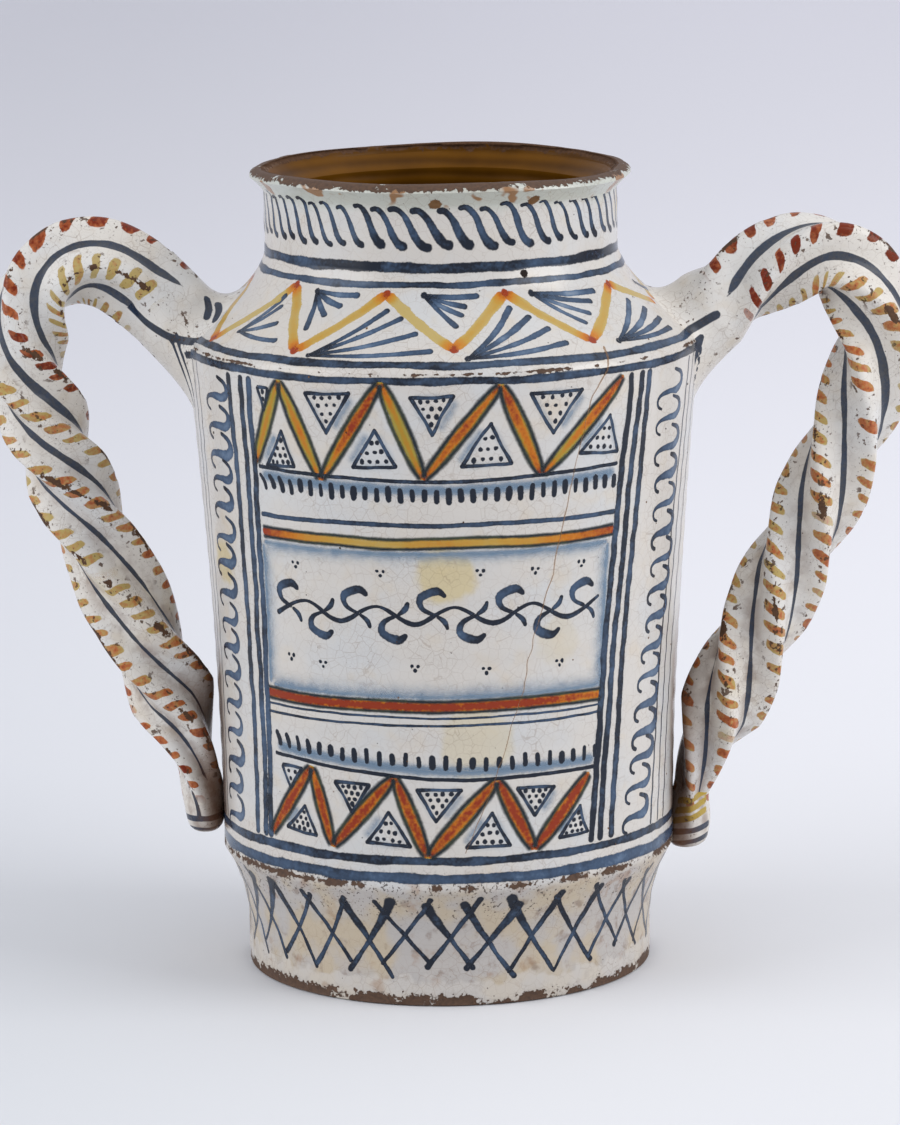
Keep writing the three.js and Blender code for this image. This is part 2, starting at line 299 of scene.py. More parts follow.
@dataclass(frozen=True)
class TinGlaze:
    """Opaque white glaze, crazed and stained by age, with bare clay where it has worn off."""

    white: Color = srgb(200, 195, 189)
    cool: Color = srgb(194, 196, 198)
    warm: Color = srgb(200, 187, 168)
    stain: Color = srgb(196, 178, 128)
    crazing: Color = srgb(128, 104, 84)
    clay: Color = srgb(104, 75, 54)
    dark_clay: Color = srgb(44, 30, 24)

    def ground(self, graph: Graph) -> Field:
        """The glaze's own colour, before any wear."""
        cloud = graph.noise(0.035, 3.0)
        blush = graph.noise(0.11, 3.0, shift=4.0)
        color = graph.mixed(cloud.rising(0.42, 0.68) * 0.75, self.white, self.cool)
        color = graph.mixed(blush.rising(0.5, 0.78) * 0.6, color, self.warm)
        blots = graph.noise(0.028, 4.0, shift=9.0)
        return graph.mixed(blots.rising(0.66, 0.76) * 0.55, color, self.stain)

    def crazed(self, graph: Graph, color: Field) -> Field:
        """The colour with its net of fine cracks and its pinholes."""
        bend = graph.noise(0.5, 2.0)
        spot = graph.field("ShaderNodeVectorMath", {"operation": "ADD"}, {0: graph.place, 1: bend})
        net = graph.grains(0.3, "DISTANCE_TO_EDGE", spot)
        fine = graph.grains(0.75, "DISTANCE_TO_EDGE", spot)
        seen = graph.noise(0.06, 2.0, shift=2.0).rising(0.38, 0.62)
        lines = net.rising(0.035, 0.01) * (0.1 + 0.24 * seen)
        lines = lines.larger(fine.rising(0.05, 0.015) * seen * 0.16)
        color = graph.mixed(lines, color, self.crazing)
        holes = graph.grains(0.16).rising(0.045, 0.03)
        holes = holes.larger(graph.grains(0.42).rising(0.06, 0.04) * seen)
        return graph.mixed(holes * 0.8, color, self.dark_clay)

    def relief(self, graph: Graph) -> Field:
        """Height of the glaze's slow unevenness."""
        return graph.noise(0.16, 2.0, shift=6.0) + 0.25 * graph.noise(0.9, 1.0, shift=7.0)

    def bare(self, graph: Graph) -> Field:
        """Colour of the clay where the glaze has gone."""
        return graph.mixed(graph.noise(1.1, 3.0, shift=3.0), self.dark_clay, self.clay)

    def worn(self, graph: Graph, wear: Field) -> Field:
        """Share of bare clay, from the wear that the mesh carries."""
        ragged = graph.noise(0.7, 5.0, shift=5.0)
        return (wear + ragged * 1.3 - 0.65).rising(0.44, 0.52)


@dataclass(frozen=True)
class VesselGlaze(TinGlaze):
    """The tin glaze of the vessel's outside, thin on the foot and gone from its edges."""

    foot_ground: Color = srgb(186, 170, 144)
    foot_grey: Color = srgb(170, 164, 160)
    rim_tint: Color = srgb(178, 184, 172)
    amber: Color = srgb(140, 92, 40)
    stains: tuple[tuple[Spot3, float, float], ...] = (
        ((0.0, -74.5, 136.0), 10.5, 0.75),
        ((9.0, -73.5, 84.0), 13.0, 0.4),
        ((-70.0, -31.0, 132.0), 9.0, 0.7),
        ((34.0, -67.0, 114.0), 9.0, 0.22),
        ((30.0, 68.0, 120.0), 12.0, 0.5),
    )

    def _thin_foot(self, graph: Graph, color: Field, runs: Field) -> Field:
        """The colour with the foot's thin glaze, its soot and the runs along its base."""
        on_foot = graph.z.rising(40.0, 37.0)
        color = graph.mixed(on_foot * 0.75, color, self.foot_grey)
        color = graph.mixed(on_foot * runs.rising(0.58, 0.4) * 0.8, color, self.foot_ground)
        soot = graph.noise(0.22, 4.0, shift=17.0).rising(0.56, 0.7) * on_foot
        color = graph.mixed(soot * 0.5, color, self.clay)
        low_runs = (graph.z + 14.0 * graph.noise(0.16, 2.0, shift=19.0)).rising(16.5, 14.5)
        return graph.mixed(low_runs * 0.6, color, self.white)

    def _stained(self, graph: Graph, color: Field) -> Field:
        """The colour with its yellow stains."""
        for middle, radius, strength in self.stains:
            away = graph.distance(middle) + 6.0 * (graph.noise(0.2, 3.0, shift=21.0) - 0.5)
            color = graph.mixed(away.rising(radius, radius - 3.5) * strength, color, self.stain)
        return color

    def _soiled_and_shaded(self, graph: Graph, color: Field, runs: Field) -> Field:
        """The colour with its tinted rim and the soil below it and on the foot, and with painted shade
        and soil by the pads.
        """
        under_rim = (graph.z + 8.0 * runs).rising(244.0, 248.5)
        color = graph.mixed(under_rim * 0.6, color, self.rim_tint)
        drips = graph.noise(0.11, 2.0, shift=15.0).rising(0.585, 0.62) * graph.z.rising(242.0, 244.5)
        color = graph.mixed(drips * 0.9, color, self.amber)
        soil = graph.noise(0.13, 4.0, shift=33.0).rising(0.56, 0.68) * graph.z.rising(46.0, 40.0)
        color = graph.mixed(soil * 0.4, color, self.amber)
        pepper = (graph.noise(1.1, 3.0, shift=31.0) + 0.003 * graph.z).rising(0.7, 0.735)
        pepper = pepper * graph.z.rising(22.0, 32.0) * graph.z.rising(46.0, 40.0)
        color = graph.mixed(pepper * 0.8, color, self.dark_clay)
        # Painted shade and soil, in the clay's brown, on the wall behind the lower ends of the handles.
        recess_shade_and_soil = abs(graph.x).rising(66.5, 69.5) * graph.z.rising(118.0, 96.0) * graph.z.rising(40.0, 46.0)
        recess_shade_and_soil = recess_shade_and_soil * abs(graph.y).rising(21.0, 11.0)
        return graph.mixed(recess_shade_and_soil * 0.75, color, self.clay)

    def material(self) -> bpy.types.Material:
        """Builds the material."""
        graph = Graph("vessel_tin_glaze")
        color = self.ground(graph)
        runs = graph.noise(0.07, 3.0, shift=12.0)
        color = self._stained(graph, self._thin_foot(graph, color, runs))
        color = self.crazed(graph, self._soiled_and_shaded(graph, color, runs))
        wear, _, _ = graph.attribute("wear")
        bare = self.worn(graph, wear)
        color = graph.mixed(bare, color, self.bare(graph))
        rough = 0.16 + 0.14 * runs + 0.5 * bare
        height = self.relief(graph) - 1.2 * bare
        graph.finish({"Base Color": color, "Roughness": rough}, height, 0.16)
        return graph.material


@dataclass(frozen=True)
class AmberGlaze:
    """Glossy honey-brown lead glaze inside the vessel, darker where it pooled."""

    light: Color = srgb(110, 70, 8)
    dark: Color = srgb(54, 30, 3)

    def material(self) -> bpy.types.Material:
        """Builds the material."""
        graph = Graph("inner_amber_glaze")
        rings = (graph.z * 1.7 + 5.0 * graph.noise(0.02, 2.0)).wave() * 0.5 + 0.5
        pools = graph.noise(0.045, 4.0)
        share = (0.35 * rings + 1.1 * pools - 0.2).limited()
        color = graph.mixed(share, self.dark, self.light)
        tin = TinGlaze()
        wear, _, _ = graph.attribute("wear")
        bare = tin.worn(graph, wear)
        color = graph.mixed(bare, color, tin.bare(graph))
        rough = 0.26 + 0.2 * pools + 0.4 * bare
        sockets = {"Base Color": color, "Roughness": rough, "Specular IOR Level": 0.08}
        graph.finish(sockets, rings + 2.0 * pools, 0.12)
        return graph.material


@dataclass(frozen=True)
class BrushPaint:
    """Pigment of painted strokes that sank into the glaze.

    Its stroke attribute holds the place across (-1 to 1), the nearness to an end (0 at the
    tip, 1 from half a width on) and the strength of the paint.
    """

    name: str
    pale: Color
    middle: Color
    deep: Color
    inner: float = 0.72
    outer: float = 1.0
    cover: float = 2.0
    fray: float = 0.34
    edge: float = -0.25
    floor: float = 0.35
    streaks: float = 0.7
    gloss: float = 0.3

    def material(self) -> bpy.types.Material:
        """Builds the material."""
        graph = Graph(self.name)
        across, end, tone = graph.attribute("stroke")
        tip = 1.0 - end
        reach = (across * across + tip * tip).power(0.5)
        frayed = reach + (graph.noise(1.3, 3.0) - 0.5) * self.fray
        body = frayed.rising(self.outer, self.inner)
        hand = 0.2 + 1.1 * graph.noise(0.28, 2.0, shift=1.0)
        bristles = self.streaks * (graph.noise(1.0, 4.0, shift=2.0) - 0.28)
        pooled = (hand + bristles + 0.3 * (1.0 - end)) * tone
        pooled = (pooled - self.edge * reach * reach).larger(0.0)
        color = graph.mixed((pooled * 2.0).limited(), self.pale, self.middle)
        color = graph.mixed((pooled * 2.0 - 1.0).limited(), color, self.deep)
        alpha = (body * (self.floor + pooled * self.cover)).limited() * body
        sockets = {"Base Color": color, "Roughness": 0.2, "Alpha": alpha}
        graph.finish({**sockets, "Specular IOR Level": self.gloss}, None, 0.0)
        return graph.material


class Paint(Enum):
    """The paints of the decoration."""

    BLUE = BrushPaint(
        "cobalt_blue_strokes", srgb(124, 146, 172), srgb(62, 82, 108), srgb(18, 26, 40)
    )
    WASH = BrushPaint(
        "cobalt_blue_washes", srgb(172, 182, 190), srgb(144, 160, 172), srgb(104, 124, 144),
        inner=0.0, cover=0.42, fray=0.2, edge=0.0, floor=0.0, streaks=0.4,
    )
    LEAF = BrushPaint(
        "antimony_yellow_to_orange", srgb(152, 134, 44), srgb(184, 104, 14), srgb(136, 44, 8),
        cover=1.0, edge=1.5, floor=0.95, streaks=1.7,
    )
    GOLD = BrushPaint(
        "antimony_yellow_lines", srgb(178, 152, 68), srgb(188, 112, 20), srgb(142, 50, 10),
        cover=1.0, edge=0.15, floor=0.85, streaks=0.9,
    )
    OUTLINE = BrushPaint(
        "green_blue_outlines", srgb(116, 112, 54), srgb(56, 64, 44), srgb(22, 32, 38),
        inner=0.1, cover=1.6, floor=0.5,
    )
    FLAW = BrushPaint(
        "cracks_and_flaws", srgb(150, 116, 80), srgb(96, 68, 46), srgb(30, 22, 18),
        edge=0.0, floor=0.25, streaks=0.3, gloss=0.04,
    )


@dataclass(frozen=True)
class RopeGlaze(TinGlaze):
    """Tin glaze of the twisted coils: dabs along the ridges, a blue line in each groove.

    The sweep attribute holds the distance along the rope in millimetres, the share of the
    way from the ridge (0) to the groove (1), and the coil's number. The lobing attribute
    tells how much of the coils' form is left in a collar or a pad.
    """

    white: Color = srgb(214, 209, 202)
    cool: Color = srgb(206, 207, 208)
    yellow: Color = srgb(168, 142, 56)
    orange: Color = srgb(170, 84, 8)
    red: Color = srgb(112, 34, 9)
    pooled: Color = srgb(84, 44, 16)
    blue: Color = srgb(38, 58, 86)
    deep_blue: Color = srgb(10, 17, 28)
    shade: Color = srgb(104, 70, 48)
    dab_pitch: float = 5.7

    def _dabs(self, graph: Graph, color: Field, rough_edge: Field) -> Field:
        """The colour with the dabs of paint across each ridge."""
        along, share, coil = graph.attribute("sweep")
        lobing, aside, heat = graph.attribute("lobing")
        step = along / self.dab_pitch + coil * 0.37 + aside * 0.22
        step = step + (graph.noise(0.11, 1.0, shift=25.0) - 0.5) * 0.8
        luck = graph.chance(step.cell() + coil * 31.0)
        other = graph.chance(step.cell() * 1.7 + coil * 57.0)
        long = (abs(step.rest() - 0.5) + rough_edge * 0.24) / (0.23 + 0.07 * luck)
        wide = (share + rough_edge * 0.16) / ((0.35 + 0.14 * other) * (1.16 - 0.36 * heat))
        away = long.power(3.0) + wide * wide * wide
        body = away.rising(1.1, 0.8)
        warmth = heat + 0.4 * luck - 0.24 + 1.5 * (graph.noise(0.7, 3.0, shift=26.0) - 0.5)
        warmth = warmth - 0.2 * away
        paint = graph.mixed((warmth * 2.0).limited(), self.yellow, self.orange)
        paint = graph.mixed((warmth * 2.0 - 1.0).limited(), paint, self.red)
        pool = (aside / (0.5 + 0.2 * other) + 0.35).limited() * (0.15 + 0.4 * warmth.limited())
        paint = graph.mixed(pool * 0.7, paint, self.pooled)
        shown = body * lobing.rising(0.3, 0.6) * luck.rising(0.02, 0.08)
        shown = shown * (0.86 + 0.14 * warmth.limited())
        return graph.mixed(shown, color, paint)

    def _lines(self, graph: Graph, color: Field, rough_edge: Field, wash: Field) -> Field:
        """The colour with each groove's blue line, and the lines and bars of collar and pad."""
        along, share, _ = graph.attribute("sweep")
        lobing, _, _ = graph.attribute("lobing")
        bristles = graph.noise(0.9, 4.0, shift=11.0)
        slim = 0.1 * along.rising(95.0, 165.0) + 0.28 * lobing.rising(1.0, 0.0)
        line = share + rough_edge * 0.08 + (graph.noise(0.06, 2.0, shift=12.0) - 0.5) * 0.4 - slim
        line = line.rising(0.79, 0.825) * along.rising(5.0, 9.0)
        blue = graph.mixed((wash * 0.9 + bristles * 1.2 - 0.65).limited(), self.deep_blue, self.blue)
        color = graph.mixed(line * (0.86 + 0.14 * bristles), color, blue)
        ink, bar, _ = graph.attribute("ink")
        color = graph.mixed((bar + rough_edge * 0.1).rising(0.42, 0.56), color, self.yellow)
        return graph.mixed((ink + rough_edge * 0.1).rising(0.42, 0.54) * 0.95, color, blue)

    def _bared(self, graph: Graph, share: Field) -> Field:
        """Share of bare clay: worn ridges, flecks and specks."""
        wear, _, _ = graph.attribute("wear")
        flecks = graph.noise(0.5, 3.0, shift=27.0) + 0.14 * (graph.noise(0.05, 2.0, shift=28.0) - 0.5)
        flecks = flecks.rising(0.625, 0.645) * (share.rising(0.7, 0.3) * 0.9 + 0.1)
        specks = graph.noise(1.5, 3.0, shift=29.0).rising(0.655, 0.675) * share.rising(0.95, 0.35)
        return self.worn(graph, wear).larger(flecks * 0.9).larger(specks * 0.8)

    def material(self) -> bpy.types.Material:
        """Builds the material."""
        graph = Graph("rope_tin_glaze")
        _, share, _ = graph.attribute("sweep")
        color = self.crazed(graph, graph.mixed(0.06, self.ground(graph), self.warm))
        # Painted shade and dirt: the grooves are darkened, more so lower down the rope.
        groove_shade_and_dirt = share.rising(0.25, 0.95) * graph.z.rising(210.0, 90.0)
        groove_shade_and_dirt = groove_shade_and_dirt * graph.noise(0.16, 3.0, shift=23.0).rising(0.36, 0.6)
        color = graph.mixed(groove_shade_and_dirt * 0.55, color, self.shade)
        rough_edge = (graph.noise(0.8, 3.0, shift=8.0) - 0.5) * 0.5
        color = self._dabs(graph, color, rough_edge)
        wash = graph.noise(0.09, 3.0, shift=10.0)
        color = self._lines(graph, color, rough_edge, wash)
        # Painted shade and soil where the rope lies close to the vessel's wall, low down.
        axis = (graph.x * graph.x + graph.y * graph.y).power(0.5)
        recess_shade_and_soil = (axis + 5.0 * rough_edge).rising(80.5, 73.0) * graph.z.rising(125.0, 100.0)
        color = graph.mixed(recess_shade_and_soil * 0.8, color, self.shade)
        bare = self._bared(graph, share)
        color = graph.mixed(bare, color, self.bare(graph))
        rough = 0.2 + 0.12 * wash + 0.45 * bare
        relief = self.relief(graph) - 0.8 * bare
        sockets = {"Base Color": color, "Roughness": rough, "Specular IOR Level": 0.2}
        graph.finish(sockets, relief, 0.16)
        return graph.material


@dataclass(frozen=True)
class StudioPaper:
    """Pale sweep of paper, a little bluer towards the back, with painted light: lighter towards the back
    and the right, darker at the front left.
    """

    near_left: Color = srgb(206, 209, 214)
    near: Color = srgb(221, 222, 226)
    far_left: Color = srgb(229, 229, 236)
    far_right: Color = srgb(247, 246, 253)
    half_width: float = 420.0
    eye_height: float = 433.0
    eye_place: float = 1574.0
    steep: float = 0.31
    shallow: float = 0.086

    def material(self) -> bpy.types.Material:
        """Builds the material."""
        graph = Graph("studio_paper")
        # Painted light and shade: the paper is lighter towards the back and the right, and darker at the
        # front left.
        slope = self.eye_height / (graph.y + self.eye_place).larger(500.0)
        side = graph.x.rising(-self.half_width, self.half_width)
        far = graph.mixed(side, self.far_left, self.far_right)
        near = graph.mixed(graph.x.rising(-250.0, 60.0), self.near_left, self.near)
        color = graph.mixed(slope.rising(self.shallow, self.steep), far, near)
        graph.finish({"Base Color": color, "Roughness": 0.9}, None, 0.0)
        return graph.material


# Meshes


def points_of(piece: bpy.types.Object) -> Array:
    """The points of a piece in metres, as rows of three."""
    flat = np.empty(len(piece.data.vertices) * 3)
    piece.data.vertices.foreach_get("co", flat)
    return flat.reshape(-1, 3)


def rolled_sheet(name: str, columns: int, rows: int, place: Placer) -> bpy.types.Object:
    """Models a piece by rolling up a flat grid.

    Args:
        name: Name of the piece.
        columns: Faces along the sheet's first side.
        rows: Faces along its second side.
        place: Gives the points in millimetres, as an array of rows of three, for the
            shares (0 to 1) along both sides.

    Returns:
        The piece, whose seams are still open.
    """
    bpy.ops.object.select_all(action="DESELECT")
    bpy.ops.mesh.primitive_grid_add(x_subdivisions=columns, y_subdivisions=rows, size=2.0)
    piece = bpy.context.active_object
    piece.name = name
    piece.data.name = name
    flat = points_of(piece)
    points = place((flat[:, 0] + 1) / 2, (flat[:, 1] + 1) / 2)
    piece.data.vertices.foreach_set("co", (points * MM).ravel())
    return piece


def close_sheet(piece: bpy.types.Object, smooth_angle: float) -> None:
    """Merges the seams of a rolled sheet, fills its ends and turns its faces outwards."""
    bpy.ops.object.mode_set(mode="EDIT")
    bpy.ops.mesh.select_all(action="SELECT")
    bpy.ops.mesh.remove_doubles(threshold=0.002 * MM)
    bpy.ops.mesh.fill_holes(sides=0)
    bpy.ops.mesh.select_all(action="SELECT")
    bpy.ops.mesh.normals_make_consistent(inside=False)
    bpy.ops.object.mode_set(mode="OBJECT")
    bpy.ops.object.shade_smooth_by_angle(angle=math.radians(smooth_angle))


def mark_points(piece: bpy.types.Object, marks: dict[str, Array]) -> None:
    """Stores three numbers for each point of a piece, under each name."""
    for name, values in marks.items():
        store = piece.data.attributes.new(name, "FLOAT_VECTOR", "POINT")
        store.data.foreach_set("vector", np.ascontiguousarray(values, dtype=float).ravel())


def hand_over(piece: bpy.types.Object, node: str | None = None) -> None:
    """Gives a piece its body and hides the imported part that it stands for, if any."""
    if node:
        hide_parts(node)
    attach(piece, BODY)
    LOG.info("%s: %d faces", piece.name, len(piece.data.polygons))


def in_three(first: Array, second: Array, third: Array) -> Array:
    """Sets three columns side by side."""
    return np.stack([first, second, third], axis=1)


def roughness_at(points: Array, scale: float, shift: float) -> Array:
    """Noise from about -1 to 1 at each point of an array."""
    return np.array(
        [noise.noise(Vector((x * scale + shift, y * scale, z * scale))) for x, y, z in points]
    )


def between(start: Spot, end: Spot, share: float) -> Spot:
    """The spot at a share of the way from one spot to another."""
    return (start[0] + (end[0] - start[0]) * share, start[1] + (end[1] - start[1]) * share)


def quarter_bend(start: Spot, pull: Spot, end: Spot, steps: int) -> list[Spot]:
    """Points of a quadratic curve after its start."""
    spots = []
    for i in range(1, steps + 1):
        t = i / steps
        first, second, third = (1 - t) ** 2, 2 * t * (1 - t), t * t
        spots.append(tuple(first * a + second * b + third * c for a, b, c in zip(start, pull, end)))
    return spots


# Vessel


@dataclass
class VesselSkin:
    """The shape of the thrown vessel, which its paint lies on.

    Radii and heights are those of the solids, with the wobble of a hand-thrown pot. A pull
    is the height of a curve's control point.
    """

    base_radius: float = 63.2
    foot_edge_radius: float = 70.6
    shoulder_radius: float = 79.3
    neck_radius: float = 54.4
    lip_radius: float = 58.7
    wall: float = 6.5
    floor: float = 9.0
    foot_edge: float = 39.0
    shoulder_edge: float = 196.5
    neck_bottom: float = 224.0
    lip_bottom: float = 243.0
    top: float = 250.0
    base_rounding: float = 1.4
    base_height: float = 12.0
    foot_pull: float = 25.5
    wall_pull: float = 100.0
    edge_softness: float = 1.2
    neck_spread: float = 6.6
    neck_drop: float = 11.0
    lip_rounding: float = 2.33
    lip_thickness: float = 6.0
    outside: list[Spot] = field(init=False)
    inside: list[Spot] = field(init=False)

    def __post_init__(self) -> None:
        """Works out both outlines, as radii and heights."""
        self.outside = self._foot_and_wall() + self._shoulder_and_lip()
        self.inside = self._inner_outline()

    def _foot_and_wall(self) -> list[Spot]:
        """The outside from the base to the shoulder's edge."""
        base, foot, edge = self.base_radius, self.foot_edge_radius, self.shoulder_radius
        soft = self.edge_softness
        spots = [(base - self.base_rounding, 0.0), (base - 0.4, 0.4)]
        spots += [(base, self.base_rounding), (base, self.base_height)]
        spots += quarter_bend(spots[-1], (base, self.foot_pull), (foot, self.foot_edge - soft), 12)
        spots.append((foot, self.foot_edge + soft))
        return spots + quarter_bend(
            spots[-1], (foot, self.wall_pull), (edge, self.shoulder_edge - soft), 40
        )

    def _shoulder_and_lip(self) -> list[Spot]:
        """The outside from the shoulder's edge to the top of the lip."""
        neck, edge, rim = self.neck_radius, self.shoulder_radius, self.lip_radius
        rim_height = self.top - self.lip_rounding
        spots = quarter_bend(
            (edge, self.shoulder_edge - self.edge_softness), (edge, self.shoulder_edge + 0.4),
            (edge - 1.6, self.shoulder_edge + 2.2), 4,
        )
        spots.append((neck + self.neck_spread, self.neck_bottom - self.neck_drop))
        spots += quarter_bend(
            spots[-1], (neck + self.neck_spread / 4, self.neck_bottom - self.neck_drop / 2),
            (neck, self.neck_bottom), 8,
        )
        spots.append((neck, self.lip_bottom))
        pull = (neck + 1.43, self.lip_bottom + self.lip_rounding)
        spots += quarter_bend(spots[-1], pull, (rim, rim_height), 6)
        middle = (rim - self.lip_thickness / 2, self.top)
        return spots + quarter_bend((rim, rim_height), (rim, self.top), middle, 6)

    def _inner_outline(self) -> list[Spot]:
        """The inside from the top of the lip to the middle of the floor."""
        rim, foot = self.lip_radius - self.lip_thickness, self.foot_edge_radius - self.wall
        neck, low = self.neck_radius - self.wall, self.base_radius - self.wall
        spots = [(rim + self.lip_thickness / 2, self.top)]
        spots += quarter_bend(spots[0], (rim, self.top), (rim, self.top - self.lip_rounding), 6)
        spots += [(neck, self.lip_bottom), (neck, self.neck_bottom)]
        spots.append((neck + self.neck_spread, self.neck_bottom - self.neck_drop - self.wall / 2))
        spots.append((self.shoulder_radius - self.wall, self.shoulder_edge - self.wall / 2))
        spots += quarter_bend(spots[-1], (foot, self.wall_pull), (foot, self.foot_edge), 8)
        corner = (low, self.floor + self.wall)
        spots += quarter_bend(spots[-1], (low, 24.0), corner, 4)
        spots += quarter_bend(corner, (low, self.floor), (low - self.wall, self.floor), 4)
        return [*spots, (0.0, self.floor)]

    def wobble(self, angle: Array, height: Array) -> Array:
        """How far the thrown clay stands out from its true round, in millimetres."""
        oval = 0.32 * np.sin(2 * angle + 0.6) + 0.16 * np.sin(3 * angle + height / 55)
        dents = 0.12 * np.sin(5 * angle - 1 + height / 31) * np.sin(height / 23)
        ribs = 0.07 * np.sin(height * 0.74 + 1.3 * np.sin(angle))
        return (oval + dents + ribs) * np.clip(height / 12, 0, 1)

    def radius_at(self, height: Array | float) -> Array:
        """Radius of the outside at a height, without the wobble."""
        spots = np.array(self.outside)
        return np.interp(height, spots[:, 1], spots[:, 0])

    def normal_at(self, angle: Array, height: Array) -> Array:
        """Directions square to the outside."""
        reach = 0.8
        slope = (self.radius_at(height + reach) - self.radius_at(height - reach)) / (2 * reach)
        size = np.sqrt(1 + slope**2)
        return in_three(np.sin(angle) / size, -np.cos(angle) / size, -slope / size)

    def point_at(self, angle: Array, height: Array, lift: float) -> Array:
        """Points of the outside, lifted off it by a distance."""
        radius = self.radius_at(height) + self.wobble(angle, height)
        points = in_three(radius * np.sin(angle), -radius * np.cos(angle), height)
        return points + self.normal_at(angle, height) * lift


def spaced_out(spots: Sequence[Spot], spacing: float) -> list[Spot]:
    """An outline with points added on its long sides."""
    dense = [spots[0]]
    for start, end in zip(spots, spots[1:]):
        count = max(1, math.ceil(math.dist(start, end) / spacing))
        dense += [between(start, end, i / count) for i in range(1, count + 1)]
    return dense


@dataclass
class Vessel:
    """Foot, wall, shoulder, neck and lip, thrown in one piece."""

    skin: VesselSkin
    columns: int = 304
    outer_spacing: float = 1.7
    inner_spacing: float = 4.0
    chip_depth: float = 0.8

    def wear_at(self, points: Array) -> Array:
        """How worn each point is, from 0 to 1: the rim, the edges and the base."""
        height = points[:, 2]
        radius = np.hypot(points[:, 0], points[:, 1])
        edges = [
            (self.skin.shoulder_edge + 0.3, 1.0, 0.44),
            (self.skin.foot_edge + 0.2, 2.0, 0.56),
            (0.2, 5.2, 0.82),
            (self.skin.top + 0.4, 2.9, 1.0),
        ]
        wear = np.zeros(len(points))
        near = radius > self.skin.neck_radius - 7
        patches = np.zeros(len(points))
        for at, reach, amount in edges:
            close = np.clip(1 - np.abs(height - at) / reach, 0, 1) * near
            touched = close > 0
            patches[touched] = roughness_at(points[touched], 0.14, at)
            wear = np.maximum(wear, close**0.6 * np.clip(amount + 0.75 * patches, 0, 1))
        return wear

    def build(self) -> None:
        """Models and dresses the vessel."""
        outer = spaced_out([(0.0, 0.0), *self.skin.outside], self.outer_spacing)
        inner = spaced_out(self.skin.inside, self.inner_spacing)[1:]
        outline = np.array(outer + inner)

        def place(u: Array, v: Array) -> Array:
            at = np.rint(v * (len(outline) - 1)).astype(int)
            angle = u * 2 * math.pi
            height = outline[at, 1]
            radius = outline[at, 0] + self.skin.wobble(angle, height) * (outline[at, 0] > 1)
            rim = np.clip((height - 238) / 12, 0, 1)
            height = height + rim * (0.45 * np.sin(2 * angle + 2.2) + 0.25 * np.sin(5 * angle))
            return in_three(radius * np.sin(angle), -radius * np.cos(angle), height)

        piece = rolled_sheet("painted_vessel", self.columns, len(outline) - 1, place)
        close_sheet(piece, 38)
        points = points_of(piece) / MM
        wear = self.wear_at(points)
        chipped = np.clip((wear - 0.5) / 0.3, 0, 1) * self.chip_depth
        radius = np.maximum(np.hypot(points[:, 0], points[:, 1]), 1.0)
        middle = self.skin.radius_at(points[:, 2]) - self.skin.wall / 2
        inwards = np.sign(middle - radius)
        shrink = 1 + chipped * inwards / radius * (points[:, 2] > 1)
        points[:, 0] *= shrink
        points[:, 1] *= shrink
        piece.data.vertices.foreach_set("co", (points * MM).ravel())
        mark_points(piece, {"wear": in_three(wear, wear, wear)})

        piece.data.materials.append(VesselGlaze().material())
        piece.data.materials.append(AmberGlaze().material())
        for face in piece.data.polygons:
            centre, normal = face.center / MM, face.normal
            inward = centre.x * normal.x + centre.y * normal.y < 0
            on_floor = normal.z > 0.5 and centre.z < 20
            face.material_index = int((inward and centre.z > 8) or on_floor)
        hand_over(piece, "vessel")


# Painted decoration


